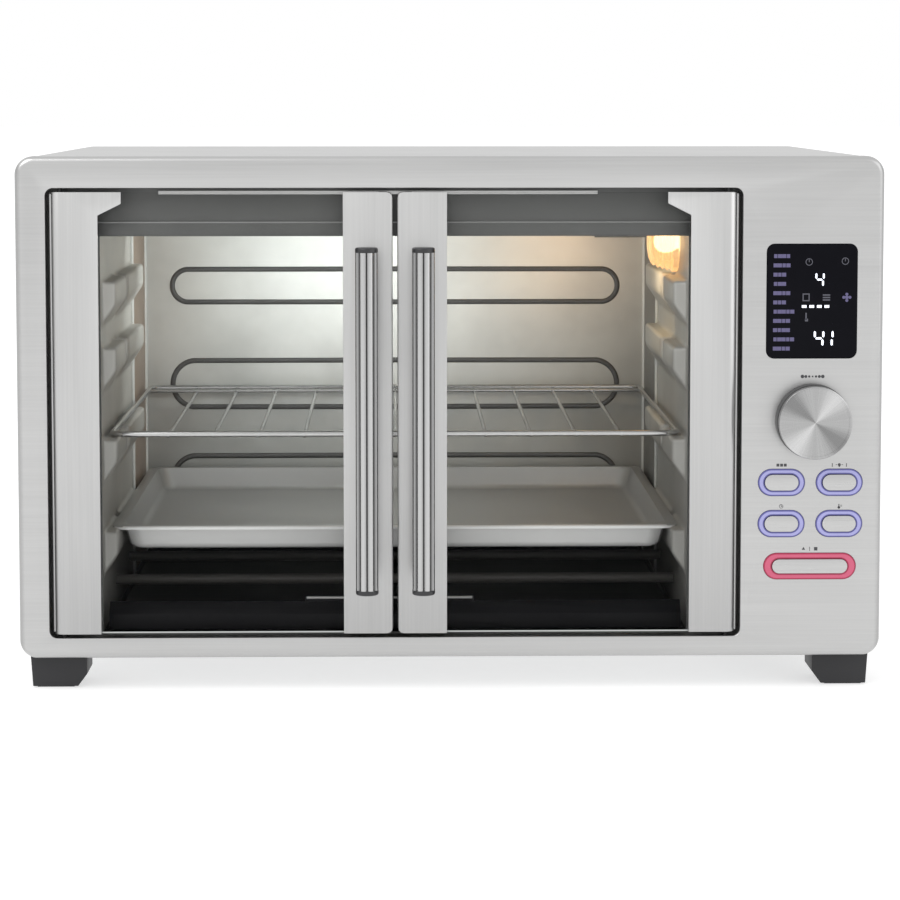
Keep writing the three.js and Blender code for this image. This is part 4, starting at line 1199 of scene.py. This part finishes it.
# %% Turned finish
def turned(name, centre, tone, first_wedge):
    """A face turned about an axis along Y through the centre, with painted highlight and shade wedges:
    first_wedge is the bright wedge's angle.
    """
    made = Finish(name, (tone, tone, tone), 0.26, 1.0)
    where = made.place(move=(-centre.x, 0, -centre.z))
    x, z = made.axis(where, 0), made.axis(where, 2)
    turn = made.node("Math", {"operation": "ARCTAN2"}, {0: z, 1: x})
    wedge = made.node("Math", {"operation": "COSINE"}, {0: (turn - first_wedge) * 2})
    narrow = made.node("Math", {"operation": "COSINE"}, {0: (turn - first_wedge) * 6})
    streak = made.noise(made.node("CombineXYZ", None, {0: turn * 7}), 2.2, 3.0, 0.65)
    out = made.node("CombineXYZ", None, {0: x, 1: z})
    away = made.node("VectorMath", {"operation": "LENGTH"}, {0: out}, output=1)
    rings = made.noise(made.node("CombineXYZ", None, {0: away * 2600}), 1.0, 2.0, 0.7)
    # Painted light: the wedges and angular streaks paint highlight and shade into the colour; the rings are
    # turning scratches.
    shade = 0.45 + wedge * 0.36 + narrow * 0.15 + (streak - 0.5) * 0.5 + (rings - 0.5) * 0.12
    made.feed("Base Color", made.blend(shade, (tone * 0.62,) * 3, (tone * 1.6,) * 3))
    made.feed("Roughness", 0.22 + rings * 0.12)
    made.bump(rings, 0.12, 0.02 * MM)
    return made.material


knob_metal = turned("knob_turned_metal", knob_at, 0.36, math.radians(50))

# %% Knob cap and skirt
KNOB_OUT, CAP_DEEP, STEM_R = 16 * MM, 5 * MM, 3.6 * MM
knob_r = (knob_high.x - knob_low.x) / 2
face_y = FRONT_Y - KNOB_OUT
cap = rod("control_knob_cap", (knob_at.x, face_y, knob_at.z), 1, CAP_DEEP, knob_r * 0.985, 96)
with shaping(cap):
    pick(cap, "EDGE", at(1, face_y))
    bpy.ops.mesh.bevel(offset=0.7 * MM, segments=4)
    pick(cap, "FACE", lambda face: at(1, face_y)(face) and len(face.verts) > 8)
    bpy.ops.mesh.inset(thickness=1.0 * MM)
    extrude(y=0.35 * MM)
    bpy.ops.mesh.inset(thickness=0.3 * MM)
hand_over(cap, "knob", "knob_metal", knob_metal, stands_for=["control_knob"], angle=25)

skirt_y, foot_y = face_y + CAP_DEEP, FRONT_Y - 0.6 * MM
SKIRT_WALL, HOLLOW_DEEP = 1.6 * MM, 5 * MM
skirt = rod("control_knob_skirt", (knob_at.x, skirt_y, knob_at.z), 1, foot_y - skirt_y, knob_r, 96)
with shaping(skirt):
    pick(skirt, "EDGE", at(1, skirt_y))
    bpy.ops.mesh.bevel(offset=0.4 * MM, segments=3)
    pick(skirt, "FACE", at(1, foot_y))
    bpy.ops.mesh.inset(thickness=SKIRT_WALL)
    extrude(y=-HOLLOW_DEEP)
    bpy.ops.mesh.inset(thickness=knob_r - SKIRT_WALL - STEM_R)
    extrude(y=knob_high.y - foot_y + HOLLOW_DEEP)
hand_over(skirt, "knob", "black_plastic", dark_cap, angle=30)

# %% [markdown]
# ## The buttons
# Each button is a slim steel cap in a moulded ring that lights up. The ring's front face is inset, and the
# part between the inset lines is raised, so that the clear ridge stands between two darker edges.

# %% Button caps and light rings
RING_EDGE, RIDGE = 0.75 * MM, 0.25 * MM
for key in keys:
    ring_low, ring_high = span(f"{key}_ring")
    cap_low, cap_high = span(f"{key}_button")
    ring = pill(f"{key}_light_ring", f"{key}_ring", 0, ring_low.y + RIDGE, ring_high.y)
    cut(ring, pill("hole", f"{key}_button", 0.4 * MM, ring_low.y - 2 * MM, ring_high.y + 2 * MM))
    with shaping(ring):
        bpy.ops.mesh.select_all(action="SELECT")
        bpy.ops.mesh.dissolve_limited(angle_limit=math.radians(1))
        pick(ring, "FACE", at(1, ring_low.y + RIDGE))
        bpy.ops.mesh.inset(thickness=RING_EDGE, use_boundary=True)
        extrude(y=-RIDGE)
    edge_finish, ridge_finish = (red_edge, red_ring) if key == "start" else (blue_edge, blue_ring)
    slot = "red_light" if key == "start" else "blue_light"
    hand_over(ring, "root", slot, edge_finish, ridge_finish, stands_for=[f"{key}_ring"], angle=35)
    for face in ring.data.polygons:
        face.material_index = int(face.center.y < ring_low.y + 0.05 * MM)
    cap = pill(f"{key}_button_cap", f"{key}_button", 0, cap_low.y, FRONT_Y + 4 * MM)
    bevel_edges(cap, at(1, cap_low.y), 0.7 * MM, 4)
    cap_mid, stem_y = (cap_low + cap_high) / 2, FRONT_Y + 3.9 * MM
    stem = rod("stem", (cap_mid.x, stem_y, cap_mid.z), 1, cap_high.y - stem_y, 1.5 * MM, 16)
    hand_over(
        together(f"{key}_button_cap", cap, stem), f"{key}_key", "stainless", key_steel,
        stands_for=[f"{key}_button"], angle=35,
    )
print("buttons:", len(keys))

# %% [markdown]
# ## The display
# A black glossy window with lit marks a hair proud of its surface: a column of programme bars, a few plain
# symbols, and seven-segment digits. Every segment is a small block with its corners cut off, and all the
# marks of one colour are joined.

# %% Display window and its marks
window = rounded_block("display_glass", display_low, display_high, 1, 5 * MM, 8)
bevel_edges(window, at(1, display_low.y), 0.5 * MM, 3)
hand_over(window, "root", "display_black", display_black, stands_for=["display_window"], angle=30)

MARK_Y = display_low.y - 0.04 * MM
display_mid = centre_of("display_window")
SLANT = 0.10


def mark(x, z, wide, high, y=MARK_Y, thick=0.1 * MM):
    """A small flat block seen from the front, centred on x and z."""
    return block("mark", (x - wide / 2, y, z - high / 2), (x + wide / 2, y + thick, z + high / 2))


def frame_mark(x, z, wide, high, line):
    """A hollow rectangle: a block with a smaller block cut out of it."""
    piece = mark(x, z, wide, high)
    cut(piece, mark(x, z, wide - 2 * line, high - 2 * line, MARK_Y - 1 * MM, 2 * MM))
    return piece


def segment(x, z, upright, long, line):
    """One bar of a digit, with its corners cut off."""
    piece = mark(x, z, line if upright else long, long if upright else line)
    bevel_edges(piece, lambda edge: along(edge, 1), line * 0.45, 1)
    return piece


def digit(x, z, high, shown):
    """A seven-segment digit: a top, b and c right, d foot, e and f left, g middle."""
    half, wide, line = high / 2, high * 0.52, high * 0.13
    places = {
        "a": (0, half, False), "g": (0, 0, False), "d": (0, -half, False),
        "f": (-wide / 2, half / 2, True), "b": (wide / 2, half / 2, True),
        "e": (-wide / 2, -half / 2, True), "c": (wide / 2, -half / 2, True),
    }
    parts = []
    for letter in shown:
        dx, dz, upright = places[letter]
        long = (half if upright else wide) - line * 0.9
        parts.append(segment(x + dx + dz * SLANT, z + dz, upright, long, line))
    return parts


def at_display(right, up):
    """A place on the display, in millimetres from its middle."""
    return display_mid.x + right * MM, display_mid.z + up * MM


bar_marks = []
BAR_PARTS = [4, 4, 3, 3, 4, 3, 5, 4, 4, 5, 4]
for row, count in enumerate(BAR_PARTS):
    x0, z = at_display(-25.0, 29.2 - 5.99 * row)
    for step in range(count):
        wide = (2.7 if (row + step) % 3 else 2.1) * MM
        bar_marks.append(mark(x0 + (step * 2.75 + 1.3) * MM, z, wide, 2.5 * MM))
hand_over(together("programme_bars", *bar_marks), "root", "display_black", mark_light)

lit = digit(*at_display(4.9, 14.0), 9.2 * MM, "fgbc")
lit += digit(*at_display(4.6, -24.1), 10.6 * MM, "fgbc")
lit += digit(*at_display(10.6, -24.1), 10.6 * MM, "bc")
for step in range(4):
    lit.append(mark(*at_display(-5.0 + step * 4.9, -3.4), 3.0 * MM, 1.7 * MM))
hand_over(together("display_digits", *lit), "root", "display_black", digit_light)

dim = []
for right, up in ((-2.0, 25.4), (21.4, 25.9)):
    x, z = at_display(right, up)
    dim.append(pulled_loop("dim_ring", (x, MARK_Y + 0.15 * MM, z), 2.1 * MM, 0.3 * MM, upright=True))
    dim.append(mark(x, z + 0.8 * MM, 0.5 * MM, 1.8 * MM))
dim.append(frame_mark(*at_display(-3.8, 2.5), 4.6 * MM, 5.0 * MM, 0.7 * MM))
for step in range(3):
    dim.append(mark(*at_display(9.4, 4.0 - step * 1.6), 4.8 * MM, 0.9 * MM))
dim.append(mark(*at_display(-3.7, -9.8), 0.9 * MM, 4.6 * MM))
dim.append(mark(*at_display(-3.4, -12.2), 2.0 * MM, 1.8 * MM))
hand_over(together("display_dim_marks", *dim), "root", "display_black", dim_light)
hub_x, hub_z = at_display(22.6, 2.5)
hub = rod("fan_mark_hub", (hub_x, MARK_Y, hub_z), 1, 0.1 * MM, 1.2 * MM, 16)
blades = [hub]
for step in range(4):
    turn = step * math.pi / 2
    x, z = at_display(22.6 + 2.0 * math.cos(turn), 2.5 + 2.0 * math.sin(turn))
    blades.append(rod("blade", (x, MARK_Y, z), 1, 0.1 * MM, 1.0 * MM, 12))
hand_over(together("display_fan_mark", *blades), "root", "display_black", mark_light)
print("marks:", len(bar_marks) + len(lit) + len(dim) + len(blades))

# %% [markdown]
# ## Printed symbols on the panel
# Small dark symbols are printed over each control: turning arrows over the knob, three bars for the
# programmes, a lamp, a clock, a thermometer, and a start triangle with a stop square. They are thin plates
# that stand a hair proud of the steel.

# %% Panel symbols
INK_Y = FRONT_Y - 0.05 * MM
INK = 1.25 * MM


def ink(x, z, wide, high):
    return mark(x, z, wide * INK, high * INK, INK_Y, 0.08 * MM)


def ink_dot(x, z, radius, sides=16):
    return rod("dot", (x, INK_Y, z), 1, 0.08 * MM, radius * INK, sides)


def ink_ring(x, z, radius, line=0.16):
    return pulled_loop("ink_ring", (x, FRONT_Y, z), radius * MM, line * MM, upright=True, sides=6)


def over(key, lift=0.0):
    low, high = span(f"{key}_ring")
    return (low.x + high.x) / 2, high.z + (2.6 + lift) * MM


symbols = []
x, z = knob_at.x, knob_high.z + 4.6 * MM
symbols += [ink_dot(x + step * 2.2 * MM, z, 0.45 + 0.16 * abs(step)) for step in (-3, -2, -1, 0, 1, 2, 3)]
x, z = over("mode")
symbols += [ink(x + step * 2.4 * MM, z, 1.5, 1.5) for step in (-1, 0, 1)]
x, z = over("light")
symbols += [ink_dot(x, z + 0.2 * MM, 0.8), ink(x, z - 0.95 * MM, 0.7, 0.5)]
symbols += [ink(x + side * 1.9 * MM, z + 0.2 * MM, 0.8, 0.3) for side in (-1, 1)]
symbols += [ink(x - 4.6 * MM, z, 0.4, 1.9), ink(x + 4.6 * MM, z, 0.4, 1.9)]
x, z = over("time")
symbols += [ink_ring(x, z, 1.2), ink(x, z + 0.35 * MM, 0.3, 0.9), ink(x + 0.3 * MM, z, 0.8, 0.3)]
x, z = over("temperature")
symbols += [ink(x, z + 0.3 * MM, 0.5, 1.9), ink_dot(x, z - 0.8 * MM, 0.7)]
symbols += [ink(x + 1.5 * MM, z + step * 0.7 * MM, 1.0, 0.25) for step in (0, 1)]
x, z = over("start", 0.2)
symbols += [rod("play", (x - 4 * MM, INK_Y, z), 1, 0.08 * MM, 1.3 * MM, 3), ink(x, z, 0.3, 2.2)]
symbols += [ink(x + 4 * MM, z, 1.8, 1.8)]
hand_over(together("panel_symbols", *symbols), "root", "black_plastic", print_grey)
print("symbols:", len(symbols))

# %% [markdown]
# ## Back, base and feet
# The back is a zinc-coated sheet with rows of cooling slots, held by pan-head screws. The feet are hollow
# mouldings that taper downwards and end in a soft pad. Their outlines are exact in the model, so merged
# copies of them only need softened edges, and the pads are inset and pushed out of the feet's undersides.

# %% Rear cover, base plate and shield
for node, width in (("rear_cover", 0.25 * MM), ("base_plate", 0.2 * MM), ("bay_shield", 0.2 * MM)):
    hand_over_softened(node, f"{node}_sheet", "root", "galvanized", galvanised, width)

rear_low, rear_high = span("rear_cover")
base_low = span("base_plate")[0]
shield_low, shield_high = span("bay_shield")
ribs = []
rib_x = shield_high.x + 1.4 * MM
for y in (shield_low.y + 60 * MM, shield_high.y - 60 * MM):
    low = (shield_high.x - 0.2 * MM, y - 5 * MM, shield_low.z + 30 * MM)
    rib = rounded_block("rib", low, (rib_x, y + 5 * MM, shield_high.z - 30 * MM), 0, 4.8 * MM, 6)
    bevel_edges(rib, at(0, rib_x), 1.2 * MM, 3)
    ribs.append(rib)
hand_over(together("bay_shield_ribs", *ribs), "root", "galvanized", galvanised, angle=35)

# %% Feet with soft pads
for end in ("front", "rear"):
    for side in ("left", "right"):
        node = f"foot_{end}_{side}"
        foot = clean_copy(node, f"{node}_moulding")
        foot_low = span(node)[0]
        pad_z = foot_low.z + 0.9 * MM
        with shaping(foot):
            pick(foot, "VERT", at(2, foot_low.z))
            bpy.ops.transform.translate(value=(0, 0, pad_z - foot_low.z))
            pick(foot, "FACE", at(2, pad_z))
            bpy.ops.mesh.inset(thickness=2.5 * MM)
            extrude(z=foot_low.z - pad_z)
        soften(foot, 0.7 * MM, 3)
        hand_over(foot, "root", "black_plastic", black_plastic, stands_for=[node], angle=35)

# %% Mains bush
hand_over_softened("cord_gland", "mains_bush", "root", "black_plastic", black_plastic, 0.4 * MM, 3)
print("feet:", len([name for name in made_pieces if "foot_" in name]))

# %% [markdown]
# ## Screws
# One pan-head screw is modelled for each side that it faces: a short cylinder with a domed edge and a
# cross cut into its head. The others are copies of it.

# %% Pan-head screws
HEAD_OUT = 1.3 * MM


def screw(name, x, y, z, axis, out):
    """A pan-head screw whose head stands out along an axis."""
    place = [x, y, z]
    head = rod(name, place, axis, out * HEAD_OUT, 3.4 * MM, 28)
    bevel_edges(head, at(axis, place[axis] + out * HEAD_OUT), 0.9 * MM, 4)
    cross_at = Vector(place)
    cross_at[axis] += out * 1.5 * MM
    for turn in range(2):
        half = Vector([1.9 * MM] * 3)
        half[(axis + 1 + turn) % 3] = 0.45 * MM
        half[axis] = 0.8 * MM
        cut(head, block("cross", cross_at - half, cross_at + half))
    return head


def screw_set(name, places, axis, out):
    """Copies of one screw at several places."""
    first = places[0]
    model = screw(name, *first, axis, out)
    moves = [[a - b for a, b in zip(place, first)] for place in places[1:]]
    heads = [model] + [copy_of(model, name, move) for move in moves]
    hand_over(together(name, *heads), "root", "galvanized", screw_metal, angle=40)


inset_x, top_z, low_z = rear_high.x - 9 * MM, rear_high.z - 9 * MM, rear_low.z + 9 * MM
rear_screws = [(side * inset_x, rear_high.y, z) for side in (-1, 1) for z in (top_z, 0.17, low_z)]
rear_screws += [(x, rear_high.y, z) for x in (-0.09, 0.09) for z in (top_z, low_z)]
rear_screws += [(0.187, rear_high.y, z) for z in (0.28, 0.1)]
screw_set("rear_cover_screws", rear_screws, 1, 1)
for side, word in ((-1, "left"), (1, "right")):
    side_x = wrap_high.x if side > 0 else wrap_low.x
    side_places = [(side_x, y, wrap_low.z + 12 * MM) for y in (FRONT_Y + 60 * MM, FRONT_Y + 200 * MM)]
    screw_set(f"casing_screws_{word}", side_places, 0, side)
base_places = [
    (side * x, y, base_low.z) for side in (-1, 1)
    for x, y in ((0.262, FRONT_Y + 60 * MM), (0.262, FRONT_Y + 300 * MM), (0.09, FRONT_Y + 180 * MM))
]
screw_set("base_plate_screws", base_places, 2, -1)
print("screws:", len(rear_screws) + 4 + len(base_places))

# %% [markdown]
# ## Boards in the control bay
# The bay is behind the panel and out of sight with the casing on. The control board carries a switch under
# each button. The power board carries a finned heat sink, two capacitors and three relays.

# %% Control and power boards
control_low, control_high = span("control_board")
BOARD = 1.6 * MM
board_y = FRONT_Y + 16 * MM
control = rounded_block(
    "control_board_laminate", (control_low.x, board_y, control_low.z),
    (control_high.x, board_y + BOARD, control_high.z), 1, 2 * MM, 3,
)
bevel_edges(control, at(1, board_y), 0.2 * MM, 2)
hand_over(control, "root", "circuit_board", board_green, stands_for=["control_board"], angle=35)
parts = []
for key in keys:
    x, _, z = centre_of(f"{key}_button")
    low, high = (x - 3 * MM, board_y - 1.1 * MM, z - 3 * MM), (x + 3 * MM, board_y, z + 3 * MM)
    parts.append(rounded_block("switch", low, high, 1, 0.5 * MM, 2))
back_y = board_y + BOARD
chip_low, chip_high = (knob_at.x - 8 * MM, back_y, 0.24), (knob_at.x + 8 * MM, back_y + 1.5 * MM, 0.262)
parts.append(rounded_block("chip", chip_low, chip_high, 1, 0.3 * MM, 2))
for step in range(8):
    z = 0.2415 + step * 2.7 * MM
    for x in (knob_at.x - 9 * MM, knob_at.x + 8 * MM):
        parts.append(block("leg", (x, back_y, z), (x + 1 * MM, back_y + 0.4 * MM, z + 1 * MM)))
hand_over(together("control_board_parts", *parts), "root", "black_plastic", part_dark, angle=35)

power_low, power_high = span("power_board")
board_z = power_low.z + 4.7 * MM
power = rounded_block(
    "power_board_laminate", (power_low.x, power_low.y, board_z),
    (power_high.x, power_high.y, board_z + BOARD), 2, 2 * MM, 3,
)
hand_over(power, "root", "circuit_board", board_green, stands_for=["power_board"], angle=35)
top_z = board_z + BOARD
relays = []
for step in range(3):
    x = power_low.x + (10 + step * 19) * MM
    low, high = (x, power_low.y + 84 * MM, top_z), (x + 15 * MM, power_low.y + 110 * MM, top_z + 15 * MM)
    relay = rounded_block("relay", low, high, 2, 0.8 * MM, 3)
    bevel_edges(relay, at(2, top_z + 15 * MM), 0.6 * MM, 2)
    relays.append(relay)
for step in range(2):
    x = power_low.x + (20 + step * 24) * MM
    can = rod("can", (x, power_low.y + 66 * MM, top_z), 2, 16 * MM, 7 * MM, 32)
    bevel_edges(can, at(2, top_z + 16 * MM), 1 * MM, 3)
    relays.append(can)
hand_over(together("power_board_parts", *relays), "root", "black_plastic", part_dark, angle=35)
sink = block(
    "heat_sink", (power_low.x + 8 * MM, power_low.y + 12 * MM, top_z),
    (power_low.x + 46 * MM, power_low.y + 44 * MM, power_high.z),
)
for step in range(6):
    x = power_low.x + (11.2 + step * 5.8) * MM
    low = (x, power_low.y + 10 * MM, top_z + 5 * MM)
    high = (x + 3.6 * MM, power_low.y + 46 * MM, power_high.z + 1 * MM)
    cut(sink, block("fin_gap", low, high))
soften(sink, 0.2 * MM)
hand_over(sink, "root", "galvanized", galvanised, angle=35)
print("bay parts:", len(parts) + len(relays) + 1)

# %% [markdown]
# ## Hinge pins
# Each door hangs on one long steel pin that runs through its stile and into holes above and below the
# opening. A pin is turned bar with its ends chamfered so that it threads in, so it is a cylinder with a
# bevel round both ends.

# %% Hinge pins
for side in ("left", "right"):
    pin_low, pin_high = span(f"{side}_hinge_rod")
    x, y, _ = (pin_low + pin_high) / 2
    pin_r = (pin_high.x - pin_low.x) / 2
    pin = rod(f"{side}_hinge_pin", (x, y, pin_low.z), 2, pin_high.z - pin_low.z, pin_r, 24)
    bevel_edges(pin, lambda edge: not along(edge, 2), 0.4 * MM, 2)
    # Painted shade: the steel pin is given the near-black component finish, so it reads dark in its shaded
    # gap.
    hand_over(pin, "root", "chrome", part_dark, stands_for=[f"{side}_hinge_rod"], angle=40)

# %% [markdown]
# ## The CAD nodes that stay
# Some CAD nodes already have the right shape and are mostly out of sight. They keep their meshes and only
# get a procedural finish in their material slot.

# %% Finishes for the remaining CAD nodes
kept = {
    "fan_motor": galvanised,
    "encoder_body": galvanised,
    "lamp_holder": ceramic,
}
for name, finish in kept.items():
    nodes[name].data.materials.clear()
    nodes[name].data.materials.append(finish)
print("kept:", len(kept))

# %% [markdown]
# ## Floor, light and camera
# The studio is white all round, as for a catalogue. A broad sky light gives the steel something even to
# mirror, and one soft panel above and to the left models the casing. Inside the cavity three small panels
# that aren't seen themselves carry on the light of the oven's lamp: one cool and wide, one warm and one for
# the corner behind the lamp. The camera stands level with a point just above the casing, well back, and
# looks slightly down.

# %% Floor and light
doors_x = (span("left_hinge_rod")[0].x + span("right_hinge_rod")[1].x) / 2
paper = Finish("studio_floor", (0.52, 0.52, 0.52), 0.9, **{"Emission Color": (1, 1, 1)})
paper.feed("Emission Strength", 0.60)
paper.feed("Roughness", 0.86 + paper.noise(paper.place(), 60.0, 2.0) * 0.06)
bpy.ops.object.select_all(action="DESELECT")
bpy.ops.mesh.primitive_plane_add(size=60, location=(0, 0, cad_low.z))
floor = placed("studio_floor")
floor.data.materials.append(paper.material)
floor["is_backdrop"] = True

scene = bpy.context.scene
world = bpy.data.worlds.new("studio")
world.use_nodes = True
sky = world.node_tree.nodes["Background"]
sky.inputs["Color"].default_value = (1, 1, 1, 1)
sky.inputs["Strength"].default_value = 1.0
scene.world = world
scene.view_settings.view_transform = "Standard"


def soft_light(name, place, aim, size, power, colour=(1, 1, 1), hidden=False):
    """A square area light aimed at a point; a hidden one isn't seen or mirrored itself."""
    bpy.ops.object.select_all(action="DESELECT")
    bpy.ops.object.light_add(type="AREA", location=place)
    light = bpy.context.object
    light.name = light.data.name = name
    light.data.size, light.data.energy, light.data.color = size, power, colour
    light.rotation_euler = (Vector(aim) - Vector(place)).to_track_quat("-Z", "Y").to_euler()
    if hidden:
        light.visible_camera = light.visible_glossy = False
    return light


centre = (cad_low + cad_high) / 2
soft_light("key_panel", (-1.6, -1.6, 2.2), centre, 1.6, 26)
soft_light("fill_panel", (2.0, -1.2, 1.0), centre, 1.8, 8)
wall_y = FRONT_Y + 340 * MM
soft_light(
    "cavity_glow", (doors_x - 50 * MM, FRONT_Y + 190 * MM, 0.304), (doors_x - 50 * MM, wall_y, 0.245),
    0.16, 0.85, (0.96, 1.0, 0.98), hidden=True,
)
soft_light(
    "lamp_warmth", (lamp_low.x - 14 * MM, lamp_at.y, lamp_at.z - 6 * MM), (doors_x, wall_y, 0.20),
    0.04, 0.16, (1.0, 0.76, 0.45), hidden=True,
)
soft_light(
    "corner_warmth", (lamp_low.x - 30 * MM, FRONT_Y + 270 * MM, 0.285), (lamp_low.x - 40 * MM, wall_y, 0.285),
    0.04, 0.03, (1.0, 0.62, 0.36), hidden=True,
)

# %% Camera
AWAY, EYE_HEIGHT = 1.780, 0.3877
PITCH, YAW = math.radians(4.56), math.radians(1.14)
bpy.ops.object.camera_add(location=(doors_x, span("front_frame")[0].y - AWAY, EYE_HEIGHT))
camera = bpy.context.object
camera.name = "studio_camera"
camera.rotation_euler = (math.pi / 2 - PITCH, 0, -YAW)
camera.data.sensor_width = 36
camera.data.lens = 110.8
camera.data.shift_y = -0.15
scene.camera = camera

# %% Sizes, and the end
low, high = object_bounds()
sizes = {"cad": [list(cad_low), list(cad_high)], "visual": [list(low), list(high)]}
print("pieces made:", len(made_pieces))
